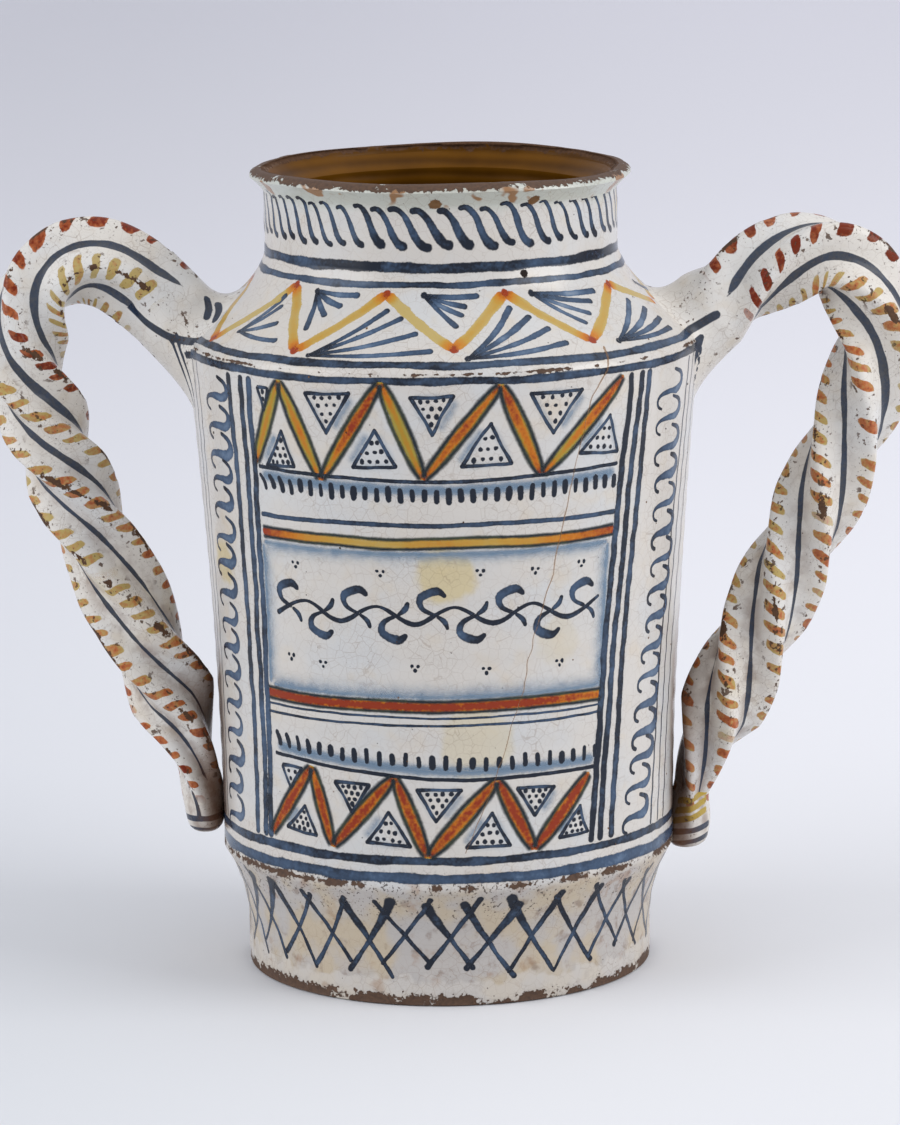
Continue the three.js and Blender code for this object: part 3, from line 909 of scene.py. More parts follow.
@dataclass
class BrushWork:
    """Strokes of one paint, gathered into one thin piece on the vessel's skin.

    Lift, step, column width and thickness are millimetres. Growth widens every stroke.
    """

    name: str
    skin: VesselSkin
    paint: Paint
    lift: float
    seed: int
    step: float
    column_width: float
    growth: float = 1.16
    thickness: float = 0.12
    points: list[Array] = field(default_factory=list)
    marks: list[Array] = field(default_factory=list)
    faces: list[tuple[int, ...]] = field(default_factory=list)
    count: int = 0

    def __post_init__(self) -> None:
        """Seeds the hand that wanders."""
        self.luck = random.Random(self.seed)

    def _add(self, points: Array, marks: Array, faces: list[tuple[int, ...]]) -> None:
        """Adds one stroke's points, marks and faces."""
        self.faces += [tuple(self.count + corner for corner in face) for face in faces]
        self.points.append(points)
        self.marks.append(marks)
        self.count += len(points)

    def stroke(
        self,
        path: Sequence[Spot],
        width: float | Sequence[float],
        tone: float | Sequence[float] = 1.0,
        wander: float = 0.15,
    ) -> None:
        """Draws one stroke.

        Args:
            path: Angles and heights that it passes.
            width: Its width, or one for each place on the path.
            tone: Strength of its paint, or one for each place.
            wander: How far the hand strays, in millimetres.
        """
        nodes = np.array(path, dtype=float)
        count = len(nodes)
        widths = np.broadcast_to(np.asarray(width, dtype=float) * self.growth, (count,))
        tones = np.broadcast_to(np.asarray(tone, dtype=float), (count,))
        t = np.linspace(0, count - 1, (count - 1) * 14 + 1)
        spots = self._through(nodes, t)
        angle = np.radians(spots[:, 0])
        points = self.skin.point_at(angle, spots[:, 1], 0.0)
        run = np.concatenate([[0], np.cumsum(np.linalg.norm(np.diff(points, axis=0), axis=1))])
        length = run[-1]
        steps = max(3, math.ceil(length / self.step))
        half_end = min(widths[0], widths[-1]) / 2
        at = np.linspace(0, length, steps + 1)
        ends = [min(half_end, length / 2), max(length - half_end, length / 2)]
        at = np.unique(np.concatenate([at, ends]))
        t = np.interp(at, run, t)
        spots = self._through(nodes, t)
        angle, height = np.radians(spots[:, 0]), spots[:, 1]
        wide = np.interp(t, np.arange(count), widths)
        strength = np.interp(t, np.arange(count), tones) * self.luck.uniform(0.88, 1.1)
        shift = self.luck.uniform(0, 1000)
        stray = np.array([noise.noise(Vector((a / 5.0, shift, 0))) for a in at]) * wander
        swell = np.array([noise.noise(Vector((a / 3.5, shift, 9))) for a in at]) * 0.22
        closed = abs(nodes[-1, 0] - nodes[0, 0]) >= 360
        if closed:
            stray, swell = (drift - (drift[-1] - drift[0]) * at / length for drift in (stray, swell))
        wide = wide * (1 + swell)
        points = self.skin.point_at(angle, height, 0.0)
        along = np.gradient(points, axis=0)
        along /= np.linalg.norm(along, axis=1)[:, None]
        across = np.cross(self.skin.normal_at(angle, height), along)
        columns = max(2, math.ceil(wide.max() / self.column_width))
        columns += columns % 2
        offsets = np.linspace(-1, 1, columns + 1)
        grid, marks = [], []
        end = np.clip(np.minimum(at, length - at) / np.maximum(wide / 2, 0.05) + closed, 0, 1)
        for offset in offsets:
            moved = points + across * (offset * wide / 2 + stray)[:, None]
            spun = np.arctan2(moved[:, 0], -moved[:, 1])
            grid.append(self.skin.point_at(spun, moved[:, 2], self.lift))
            marks.append(in_three(np.full(len(at), offset), end, strength))
        rows = len(at)
        faces = [
            (c * rows + r, c * rows + r + 1, (c + 1) * rows + r + 1, (c + 1) * rows + r)
            for c in range(columns)
            for r in range(rows - 1)
        ]
        self._add(np.concatenate(grid), np.concatenate(marks), faces)

    @staticmethod
    def _through(nodes: Array, t: Array) -> Array:
        """Places on a smooth path that passes all its nodes."""
        count = len(nodes)
        index = np.clip(t.astype(int), 0, count - 2)
        part = (t - index)[:, None]
        start, end = nodes[index], nodes[index + 1]
        if count < 3:
            return start + (end - start) * part
        before = nodes[np.maximum(index - 1, 0)]
        after = nodes[np.minimum(index + 2, count - 1)]
        out, into = (end - before) / 2, (after - start) / 2
        return (
            (2 * part**3 - 3 * part**2 + 1) * start
            + (part**3 - 2 * part**2 + part) * out
            + (3 * part**2 - 2 * part**3) * end
            + (part**3 - part**2) * into
        )

    def dot(self, spot: Spot, radius: float, tone: float = 1.0) -> None:
        """Sets down one dot."""
        sides = 8
        angle, height = np.radians([spot[0]]), np.array([spot[1]])
        centre = self.skin.point_at(angle, height, 0.0)[0]
        normal = Vector(self.skin.normal_at(angle, height)[0])
        level = normal.cross(Vector((0, 0, 1))).normalized()
        rise = level.cross(normal)
        ring = [centre]
        stretch = self.luck.uniform(0.85, 1.25)
        for i in range(sides):
            turn = 2 * math.pi * i / sides
            size = radius * self.luck.uniform(0.88, 1.12)
            move = level * (math.cos(turn) * size) + rise * (math.sin(turn) * size * stretch)
            ring.append(centre + np.array(move))
        spots = np.array(ring)
        angle = np.arctan2(spots[:, 0], -spots[:, 1])
        points = self.skin.point_at(angle, spots[:, 2], self.lift)
        across = np.array([0.0] + [1.0] * sides)
        marks = in_three(across, np.ones(sides + 1), np.full(sides + 1, tone))
        faces = [(0, 1 + i, 1 + (i + 1) % sides) for i in range(sides)]
        self._add(points, marks, faces)

    def build(self, materials: dict[Paint, bpy.types.Material]) -> None:
        """Makes the piece from its strokes, with the material of its paint."""
        mesh = bpy.data.meshes.new(self.name)
        points = np.concatenate(self.points) * MM
        mesh.from_pydata(points.tolist(), [], self.faces)
        piece = bpy.data.objects.new(self.name, mesh)
        bpy.context.scene.collection.objects.link(piece)
        mark_points(piece, {"stroke": np.concatenate(self.marks)})
        mesh.materials.append(materials[self.paint])
        self._face_out(mesh)
        bpy.ops.object.select_all(action="DESELECT")
        bpy.context.view_layer.objects.active = piece
        piece.select_set(True)
        slab = piece.modifiers.new("slab", "SOLIDIFY")
        slab.thickness = self.thickness * MM
        slab.offset = -1.0
        bpy.ops.object.modifier_apply(modifier=slab.name)
        bpy.ops.object.shade_smooth_by_angle(angle=math.radians(40))
        piece.visible_shadow = False
        piece.visible_diffuse = False
        hand_over(piece)

    @staticmethod
    def _face_out(mesh: bpy.types.Mesh) -> None:
        """Turns over each face that looks at the vessel's axis."""
        wrong = [
            face.index
            for face in mesh.polygons
            if face.normal.dot(Vector((face.center.x, face.center.y, 0.0))) < 0
        ]
        for index in wrong:
            mesh.polygons[index].flip()


class Side(Enum):
    """Front and back of the vessel, which carry the same decoration."""

    FRONT = 0.0
    BACK = 180.0

    def turned(self, spots: Sequence[Spot]) -> list[Spot]:
        """Spots of the front, turned to this side."""
        return [(angle + self.value, height) for angle, height in spots]


@dataclass
class Decoration:
    """All the painted decoration of the vessel.

    The stations are shares of the way along a leaf. The panel's sides stand at other angles
    above the height at which they change than below it.
    """

    skin: VesselSkin
    stations: tuple[float, ...] = (0.0, 0.18, 0.5, 0.82, 1.0)
    upper_sides: Spot = (-47.0, 42.6)
    lower_sides: Spot = (-49.0, 40.4)
    sides_change: float = 120.0
    wall_top: float = 193.6
    wall_low: float = 49.0
    wave_pitch: float = 8.75

    def __post_init__(self) -> None:
        """Starts the brush works."""
        self.layers: list[BrushWork] = []
        self.washes = self._layer("painted_washes", Paint.WASH, 0.03, 2, 2.0)
        self.gold = self._layer("painted_zigzag_and_bar", Paint.GOLD, 0.05, 15)
        self.leaves = self._layer("painted_leaves", Paint.LEAF, 0.05, 3)
        self.outlines = self._layer("painted_leaf_outlines", Paint.OUTLINE, 0.07, 4)
        self.neck = self._layer("painted_neck_slashes", Paint.BLUE, 0.06, 5, 1.0)
        self.rings = self._layer("painted_rings", Paint.BLUE, 0.05, 6, 2.2, 0.7)
        self.fans = self._layer("painted_shoulder_fans", Paint.BLUE, 0.06, 7)
        self.frames = self._layer("painted_panel_frames", Paint.BLUE, 0.06, 8, 1.6)
        self.waves = self._layer("painted_border_waves", Paint.BLUE, 0.06, 9, 0.9)
        self.ticks = self._layer("painted_ticks", Paint.BLUE, 0.07, 10, 1.0)
        self.triangles = self._layer("painted_triangles", Paint.BLUE, 0.07, 11, 1.0)
        self.vine = self._layer("painted_panel_vine", Paint.BLUE, 0.06, 12, 0.9)
        self.foot = self._layer("painted_foot_hatching", Paint.BLUE, 0.06, 13, 1.2)
        self.flaws = self._layer("glaze_cracks_and_flaws", Paint.FLAW, 0.16, 14, 1.0)
        self.luck = random.Random(21)
        self.draw = self.luck.uniform

    def _layer(
        self, name: str, paint: Paint, lift: float, seed: int, step: float = 1.3,
        column_width: float = 2.4,
    ) -> BrushWork:
        """Starts the brush work of one layer."""
        work = BrushWork(name, self.skin, paint, lift, seed, step, column_width)
        self.layers.append(work)
        return work

    def _moved(self, side: Side, spots: Sequence[Spot]) -> list[Spot]:
        """Spots of the front, as they lie on a side."""
        stray = 0.0 if side is Side.FRONT else 0.5
        return [
            (
                angle + side.value + self.draw(-stray, stray),
                height + self.draw(-stray, stray) * 0.4,
            )
            for angle, height in spots
        ]

    def paint_rings(self) -> None:
        """Draws the lines that run all the way round."""
        for height, width, tone in (
            (225.2, 3.2, 0.95),
            (220.2, 2.4, 0.85),
            (199.3, 2.9, 1.0),
            (194.9, 2.6, 1.0),
            (47.6, 2.8, 0.95),
            (42.0, 3.5, 0.75),
        ):
            turns = np.arange(-178, 186, 8)
            path = [(float(a), height + self.draw(-0.25, 0.25)) for a in turns]
            widths = [width * self.draw(0.8, 1.15) for _ in turns]
            tones = [tone * self.draw(0.7, 1.15) for _ in turns]
            path[-1] = (path[-1][0], path[0][1])
            widths[-1], tones[-1] = widths[0], tones[0]
            self.rings.stroke(path, widths, tones)

    def paint_neck(self) -> None:
        """Draws the leaning slashes of the neck."""
        angle = -180.0
        while angle < 176.0:
            facing = max(0.0, math.cos(2 * math.radians(angle))) ** 2
            size = 0.7 + 0.45 * facing + self.draw(-0.1, 0.12)
            top = 242.6 + self.draw(-0.8, 0.8) + 1.0 * (1 - facing)
            low = 231.6 + self.draw(-0.6, 0.5)
            lean = (8.4 + 2.6 * facing) * self.draw(0.9, 1.12)
            path = [
                (angle - lean * 0.62, top - 0.5),
                (angle - lean * 0.38, top),
                (angle - lean * 0.12, top - 2.6),
                (angle + lean * 0.12, low + 3.4),
                (angle + lean * 0.34, low + 0.5),
                (angle + lean * 0.6, low),
            ]
            widths = [w * size for w in (1.5, 1.7, 1.9, 2.3, 2.8, 3.0)]
            self.neck.stroke(path, widths, [1.25, 1.1, 0.75, 0.8, 1.05, 1.25], 0.1)
            angle += (5.9 + 1.0 * facing) * self.draw(0.88, 1.12)

    def paint_shoulder(self, side: Side) -> None:
        """Draws the zigzag of the shoulder and the fans in its cells."""
        zigzag = self._moved(side, [
            (-101.0, 209.0), (-86.0, 216.5), (-68.2, 200.9), (-49.9, 218.4), (-36.4, 201.7),
            (-16.5, 217.8), (2.8, 203.2), (19.0, 217.6), (38.0, 203.3), (59.5, 216.4), (78.5, 208.4),
        ])
        for start, end in zip(zigzag, zigzag[1:]):
            heat = self.luck.choice([0.0, 0.05, 0.14])
            path = [between(start, end, share) for share in self.stations]
            hot = self.draw(0.9, 1.3)
            self.gold.stroke(path, 3.4, [hot, heat, heat * 0.7, heat, hot], 0.25)
        for angle, height in zigzag[1:-1]:
            lean = self.draw(-0.6, 0.6)
            self.gold.stroke(
                [(angle - 1.2, height + lean), (angle + 1.3, height - lean)], 2.8,
                self.luck.choice([1.2, 1.7, 2.1]), 0.1,
            )
        fans = [
            ((-59.5, 204.2), [(-51.9, 215.6), (-50.6, 212.6), (-46.9, 208.1), (-43.1, 203.6)]),
            ((-31.9, 200.9), [(-14.7, 213.7), (-10.3, 211.6), (-5.8, 207.6), (-1.9, 203.0)]),
            ((5.8, 200.9), [(19.9, 214.0), (24.6, 211.2), (28.6, 207.7), (31.4, 203.6)]),
            ((45.6, 202.2), [(63.8, 211.6), (68.3, 208.5), (70.6, 205.2), (70.6, 202.2)]),
            ((-40.2, 217.4), [(-24.5, 217.0), (-29.1, 213.6), (-33.0, 210.7), (-36.6, 206.8)]),
            ((-5.2, 217.4), [(11.4, 217.0), (7.5, 214.0), (6.2, 211.6), (4.2, 208.6)]),
            ((27.4, 216.9), [(51.4, 215.4), (47.5, 212.8), (43.8, 209.7), (40.2, 207.4)]),
            ((79.0, 214.4), [(92.5, 209.5), (97.5, 205.0)]),
        ]
        for origin, tips in fans:
            start = self._moved(side, [origin])[0]
            for tip in self._moved(side, tips):
                middle = (
                    (start[0] + tip[0]) / 2 + self.draw(-0.5, 0.5),
                    (start[1] + tip[1]) / 2 - 0.4,
                )
                widths = [1.1, 1.8 * self.draw(0.85, 1.15), 2.1]
                tones = [1.3, 0.38 * self.draw(0.7, 1.4), 0.8]
                self.fans.stroke([start, middle, tip], widths, tones, 0.1)
            self.fans.dot(start, 1.2, 1.3)

    def paint_frames(self, side: Side) -> None:
        """Draws the upright lines and the running waves beside the panel."""
        uprights = [(-54.7, -56.1), (-50.1, -52.5), (-47.3, -50.4)]
        uprights += [(45.6, 37.6), (48.9, 40.5), (51.8, 44.3)]
        for top_angle, low_angle in uprights:
            path = self._moved(side, self._upright(top_angle, low_angle))
            tones = [self.draw(0.65, 1.25) for _ in path]
            self.washes.stroke(path, 5.0, 0.7, 0.35)
            self.frames.stroke(path, 2.5, tones, 0.35)
        for top_angle, low_angle, width in (
            (-72.0, -76.5, 0.6), (-75.5, -80.0, 0.8), (-80.0, -84.0, 0.6),
            (71.5, 61.6, 1.0), (75.2, 65.6, 0.8), (80.5, 70.0, 0.9),
        ):
            path = self._moved(side, self._upright(top_angle, low_angle))
            self.frames.stroke(path, width, 1.0, 0.3)
        heights = (191.0, 133.0, 88.0, 46.0)
        self._wave_border(side, heights, (-61.4, -65.2, -67.6, -69.6), 5.2)
        self._wave_border(side, heights, (61.4, 62.6, 57.8, 52.7), 5.4)

    def _upright(self, top_angle: float, low_angle: float) -> list[Spot]:
        """A hand-drawn upright of the wall, from its top to its foot."""
        fall = (low_angle - top_angle) / (self.wall_top - self.wall_low)
        return [
            (top_angle + fall * (self.wall_top - h) + self.draw(-0.25, 0.25), float(h))
            for h in np.linspace(self.wall_top, self.wall_low, 12)
        ]

    def _wave_border(
        self, side: Side, heights: Sequence[float], angles: Sequence[float], spread: float
    ) -> None:
        """A column of waves, each falling from a point on the right to a hook on the left.

        Args:
            side: Side of the vessel.
            heights: Heights at which the column's middle is known, from the top down.
            angles: Its middle at those heights.
            spread: Half of the column's width, in degrees.
        """
        shape = [(0.25, 0.08), (0.9, -0.12), (1.0, -0.46), (0.62, -0.66), (0.0, -0.66)]
        shape += [(-0.66, -0.7), (-0.98, -0.86), (-0.94, -1.1), (-0.62, -1.22)]
        widths = [1.1, 2.0, 3.1, 3.3, 2.5, 1.8, 1.4, 1.3, 1.1]
        tones = [1.1, 0.85, 0.55, 0.45, 0.5, 0.75, 1.0, 1.1, 1.2]
        pitch, top, last = self.wave_pitch, 190.6, 56.0
        while top > last:
            middle = float(np.interp(-top, [-h for h in heights], angles))
            middle += self.draw(-0.4, 0.4)
            size = self.draw(0.92, 1.06)
            path = [(middle + u * spread * size, top + v * pitch * size) for u, v in shape]
            thick = self.draw(0.8, 1.1)
            self.waves.stroke(
                self._moved(side, path) if side is Side.BACK else path,
                [w * thick for w in widths], tones, 0.12,
            )
            top -= pitch * self.draw(0.93, 1.07)

    def _leaf(self, start: Spot, end: Spot, wide: float, heats: Sequence[float]) -> None:
        """A long leaf with its dark outline.

        Args:
            start: One tip.
            end: The other tip.
            wide: Width at its middle.
            heats: Colour from yellow (0) to red (1), along the leaf.
        """
        path = [between(start, end, share) for share in self.stations]
        widths = [wide * fullness for fullness in (0.3, 0.78, 1.0, 0.8, 0.3)]
        self.leaves.stroke(path, widths, heats, 0.1)
        self._outline(path, widths, 2.3)

    def _outline(self, path: Sequence[Spot], widths: Sequence[float], thickness: float) -> None:
        """Dark lines along both sides of a filled stroke."""
        nodes = np.array(path)
        radius = float(self.skin.radius_at(float(nodes[:, 1].mean())))
        flat = np.stack([np.radians(nodes[:, 0]) * radius, nodes[:, 1]], axis=1)
        along = np.gradient(flat, axis=0)
        along /= np.linalg.norm(along, axis=1)[:, None]
        across = np.stack([-along[:, 1], along[:, 0]], axis=1)
        for sign in (-1, 1):
            moved = flat + across * (sign * np.array(widths) / 2)[:, None]
            spots = [(math.degrees(a / radius), h) for a, h in moved]
            tones = [self.draw(0.75, 1.3) for _ in spots]
            tones[0] = tones[-1] = 1.7
            self.outlines.stroke(spots, thickness, tones, 0.12)

    def _level(self, height: float) -> list[Spot]:
        """A level line between the sides of the panel."""
        sides = self.upper_sides if height > self.sides_change else self.lower_sides
        return [(float(angle), height) for angle in np.linspace(*sides, 9)]

    def _bar(self, side: Side, height: float, thick: float, heats: Sequence[float]) -> None:
        """A coloured bar across the panel, with dark edges."""
        path = self._moved(Side.FRONT, self._level(height))
        path = [(angle, h + self.draw(-0.3, 0.3)) for angle, h in side.turned(path)]
        work = self.gold if height > self.sides_change else self.leaves
        work.stroke(path, thick, heats, 0.1)
        self._outline(path, [thick] * len(path), 1.7)

    def _triangle(self, side: Side, corners: Sequence[Spot], rows: Sequence[int]) -> None:
        """A triangle filled with dots and shaded on one side.

        Args:
            side: Side of the vessel.
            corners: The two ends of its flat side and its point.
            rows: Dots in each row, from the flat side to the point.
        """
        first, second, point = self._moved(side, corners)
        shaded, other = (first, second) if first[1] < point[1] else (second, first)
        out = 1.1 if shaded[0] > other[0] else -1.1
        self.washes.stroke([(shaded[0] + out, shaded[1]), (point[0] + out, point[1])], 5.6, 1.9, 0.1)
        self.washes.stroke([other, point], 4.0, 1.2, 0.1)
        self.washes.stroke([first, second], 4.0, 1.0, 0.1)
        over, inset = 0.05, 0.82
        for start, end in ((first, second), (first, point), (second, point)):
            middle = (
                (start[0] + end[0]) / 2 + self.draw(-0.3, 0.3),
                (start[1] + end[1]) / 2 + self.draw(-0.25, 0.25),
            )
            path = [between(start, end, -over), middle, between(end, start, -over)]
            self.triangles.stroke(path, [1.4, 1.0, 1.2], [1.2, 0.75, 1.0], 0.25)
        for r, count in enumerate(rows):
            down = (r + 0.55) / (len(rows) + 0.9)
            for c in range(count):
                part = (c + 0.5) / count
                angle = between(first, second, 0.5 + (part - 0.5) * inset)[0]
                height = between(first, second, part)[1]
                angle, height = between((angle, height), point, down)
                spot = (angle + self.draw(-0.18, 0.18), height + self.draw(-0.2, 0.2))
                self.triangles.dot(spot, self.draw(0.72, 0.95), 1.5)

    def paint_panel(self, side: Side) -> None:
        """Draws the panel between the frames, from its top to its foot."""
        self._upper_zigzag(side)
        self._tick_band(side, (-46.4, 42.6), (166.0, 164.5, 166.2), (162.6, 157.6), 33)
        self._band_line(side, 151.3, 1.5)
        self._bar(side, 145.6, 3.0, [1.3, 0.5, 0.15, 0.1, 0.35, 0.15, 0.3, 0.7, 1.2])
        self._middle_field(side)
        self._bar(side, 95.4, 3.4, [1.2, 1.3, 1.15, 1.2, 1.1, 1.0, 1.2, 0.9, 0.6])
        self._band_line(side, 92.0, 0.75)
        self._band_line(side, 89.7, 0.85)
        self._tick_band(side, (-47.6, 39.6), (76.8, 72.9, 72.9), (80.2, 75.4), 27)
        self._lower_zigzag(side)

    def _zigzag(
        self, side: Side, turns: list[Spot], widest: float, heats: Callable[[], list[float]],
        triangles: Sequence[tuple[Sequence[Spot], Sequence[int]]],
    ) -> None:
        """Leaves that rise and fall between dotted triangles.

        Args:
            side: Side of the vessel.
            turns: Where the leaves meet.
            widest: Width of the fullest leaf.
            heats: Draws the colours along one leaf, from its foot to its tip.
            triangles: Corners and rows of dots of each triangle.
        """
        turns = self._moved(side, turns)
        for ends in zip(turns, turns[1:]):
            low, high = sorted(ends, key=lambda spot: spot[1])
            colors = heats()
            self._leaf(low, high, self.draw(4.0, widest), colors)
        for corners, rows in triangles:
            self._triangle(side, corners, rows)

    def _upper_zigzag(self, side: Side) -> None:
        """Yellow leaves between dotted triangles."""
        turns = [(-47.2, 166.6), (-38.1, 193.6), (-28.4, 163.8), (-13.4, 194.8)]
        turns += [(-4.6, 165.0), (12.6, 193.8), (22.1, 165.2), (43.0, 193.0)]

        def heats() -> list[float]:
            """A warm foot, and yellow to orange above it."""
            foot = self.draw(0.7, 1.1)
            middle = [self.luck.choice([0.15, 0.3, 0.5, 0.8]) for _ in range(3)]
            return [foot, *middle, self.draw(0.3, 0.9)]

        triangles = (
            (((-31.0, 190.2), (-20.6, 191.0), (-26.4, 178.6)), (4, 3, 2, 1)),
            (((-7.0, 190.1), (2.2, 190.6), (-2.4, 178.8)), (4, 3, 2, 1)),
            (((19.4, 190.3), (31.4, 190.2), (24.8, 178.0)), (4, 3, 2, 1)),
            (((-44.6, 190.4), (-41.4, 190.6), (-43.2, 183.5)), (1, 1)),
            (((-43.4, 166.6), (-35.4, 167.2), (-38.4, 177.8)), (4, 3, 2, 1)),
            (((-20.4, 168.6), (-10.6, 169.2), (-15.0, 180.0)), (4, 3, 2)),
            (((4.0, 169.2), (15.0, 169.6), (10.4, 181.8)), (4, 3, 2)),
            (((31.6, 171.0), (42.0, 169.8), (39.4, 181.2)), (4, 3, 2)),
        )
        self._zigzag(side, turns, 4.8, heats, triangles)

    def _lower_zigzag(self, side: Side) -> None:
        """Red-orange leaves between dotted triangles."""
        turns = [(-50.0, 50.6), (-35.4, 74.8), (-29.9, 50.0), (-13.0, 73.8)]
        turns += [(-5.2, 48.4), (12.0, 72.6), (21.2, 49.6), (36.8, 71.6)]

        def heats() -> list[float]:
            """Red-orange from end to end."""
            hot = self.draw(0.8, 1.15)
            return [hot * 0.8, hot, hot, hot * 0.9, 0.7]

        triangles = (
            (((-45.0, 73.2), (-38.4, 73.4), (-42.6, 66.4)), (2, 1)),
            (((-28.6, 70.6), (-19.4, 70.6), (-24.2, 61.6)), (4, 3, 2, 1)),
            (((-7.4, 69.6), (3.2, 69.6), (-3.0, 60.0)), (4, 3, 2, 1)),
            (((17.0, 69.4), (26.6, 68.8), (21.4, 60.4)), (4, 3, 2, 1)),
            (((-44.0, 54.2), (-34.6, 53.0), (-38.0, 61.8)), (4, 3, 2, 1)),
            (((-20.4, 52.8), (-9.4, 52.0), (-14.6, 62.4)), (4, 3, 2)),
            (((4.4, 51.8), (15.0, 51.8), (10.6, 62.2)), (4, 3, 2)),
            (((28.0, 52.6), (36.4, 53.0), (34.0, 61.6)), (4, 3, 2, 1)),
        )
        self._zigzag(side, turns, 4.9, heats, triangles)

    def _band_line(self, side: Side, height: float, width: float) -> None:
        """A thin line across the panel."""
        path = side.turned(self._level(height))
        path = [(angle, h + self.draw(-0.2, 0.2)) for angle, h in path]
        self.frames.stroke(path, width, [self.draw(0.7, 1.0) for _ in path], 0.2)

    def _tick_band(
        self, side: Side, ends: Spot, line: tuple[float, float, float], ticks: Spot, count: int
    ) -> None:
        """A row of short fat ticks beside a line, with a pale wash between them.

        Args:
            side: Side of the vessel.
            ends: First and last angle.
            line: Height of the line at its left, its middle and its right.
            ticks: Height of the ticks' tops and of their feet in the middle.
            count: Number of ticks.
        """
        turns = (ends[0], ends[0] * 0.55, 0.0, ends[1] * 0.55, ends[1])
        rises = np.interp(turns, (ends[0], 0.0, ends[1]), line)
        bend = rises - line[1]
        near = 2.6 if ticks[0] > line[1] else -2.6
        spots = side.turned([(angle, float(h) + near) for angle, h in zip(turns, rises)])
        self.washes.stroke(spots, 6.4, 3.4, 0.2)
        self.washes.stroke(spots, 4.4, 1.6, 0.2)
        self.frames.stroke(side.turned(list(zip(turns, rises))), 1.2, 1.15, 0.2)
        for i in range(count):
            angle = ends[0] + (ends[1] - ends[0]) * (i + 0.6) / count
            shift = float(np.interp(angle, turns, bend)) * (1.0 if angle < 0 else 0.6)
            angle += side.value
            lean = max(0.0, 1.3 - i * 0.3) + self.draw(-0.15, 0.25)
            top = ticks[0] + shift + self.draw(-0.5, 0.5)
            low = ticks[1] + shift + self.draw(-0.5, 0.5)
            heavy = self.draw(1.5, 2.2)
            self.ticks.stroke(
                [(angle - lean, top), (angle, (top + low) / 2), (angle + lean * 0.3, low)],
                [heavy * 0.8, heavy, heavy * 0.85], 1.5, 0.05,
            )

    def _middle_field(self, side: Side) -> None:
        """The long field in the middle: a vine between clusters of dots, washed at its edges."""
        left, right, top, low = -47.4, 41.2, 143.0, 97.6
        for width, inset, tone in ((3.0, 0.8, 2.6), (5.5, 1.5, 1.7), (9.0, 2.4, 0.9)):
            turn = inset / 1.3
            for path in (
                [(left + turn, top), (left + turn - 0.8, low)],
                [(right - turn, top), (right - turn - 0.8, low)],
                [(left, low + inset), (0.0, low + inset), (right, low + inset)],
                [(left, top - inset * 0.7), (0.0, top - inset * 0.7), (right, top - inset * 0.7)],
            ):
                self.washes.stroke(side.turned(path), width, tone, 0.3)
        clusters = [(-37.0, 137.0), (-15.0, 136.4), (8.0, 136.6), (21.0, 136.2), (33.0, 136.8)]
        clusters += [(-40.0, 108.0), (-30.6, 107.0), (-7.4, 107.4), (9.4, 106.4), (27.6, 107.0)]
        for angle, height in self._moved(side, clusters):
            for turn, rise in ((-0.7, 0.7), (0.75, 0.6), (0.05, -0.7)):
                self.vine.dot((angle + turn, height + rise), self.draw(0.6, 0.8), 1.4)
        self._vine_row(side, left + 3.6, right - 2.6, 123.6)

    def _vine_row(self, side: Side, left: float, right: float, height: float) -> None:
        """A running vine with a curled leaf in each bend.

        Args:
            side: Side of the vessel.
            left: Angle of its start.
            right: Angle of its end.
            height: Height of its middle.
        """
        bends = 9
        pitch = (right - left) / bends
        path = []
        for i in range(bends + 1):
            rise = 2.6 if i % 2 else -2.6
            path.append((left + i * pitch + side.value, height + rise))
        widths = [1.0 if i % 2 else 1.7 for i in range(bends + 1)]
        self.vine.stroke(path, widths, 1.2, 0.15)
        for i in range(bends):
            up = -1 if i % 2 else 1
            at = left + (i + 0.5) * pitch + side.value
            base = (at + pitch * 0.05, height)
            leaf = [
                base,
                (at - pitch * 0.30, height + up * 2.2),
                (at - pitch * 0.34, height + up * 5.6),
                (at + pitch * 0.06, height + up * 7.6),
                (at + pitch * 0.30, height + up * 5.6),
            ]
            self.vine.stroke(leaf, [1.0, 1.6, 2.6, 2.8, 1.1], [1.3, 0.9, 0.6, 0.9, 1.4], 0.1)
            spur = [base, (at + pitch * 0.26, height - up * 1.9), (at + pitch * 0.34, height - up * 4.4)]
            self.vine.stroke(spur, [0.9, 1.8, 0.9], [1.2, 0.8, 1.3], 0.1)

    def paint_foot(self) -> None:
        """Draws the crossed strokes of the foot."""
        count = 31
        for i in range(count):
            angle = i * 360 / count + self.draw(-1.0, 1.0)
            for lean in (-1, 1):
                slant = self.draw(12.0, 14.6) * lean
                top = 35.6 + self.draw(-1.8, 1.2)
                low = 10.6 + self.draw(-3.0, 3.2)
                heavy = self.luck.choice([2.0, 2.4, 3.2, 3.8])
                path = [
                    (angle - slant * 0.54, top),
                    (angle - slant * 0.32, top - (top - low) * 0.26),
                    (angle + slant * 0.1, top - (top - low) * 0.66),
                    (angle + slant * 0.5, low),
                ]
                tones = [1.4, 1.0, 0.85, self.draw(0.8, 1.3)]
                widths = [heavy, heavy * 0.75, 1.4, self.luck.choice([1.1, 1.5, 2.0])]
                self.foot.stroke(path, widths, tones, 0.3)

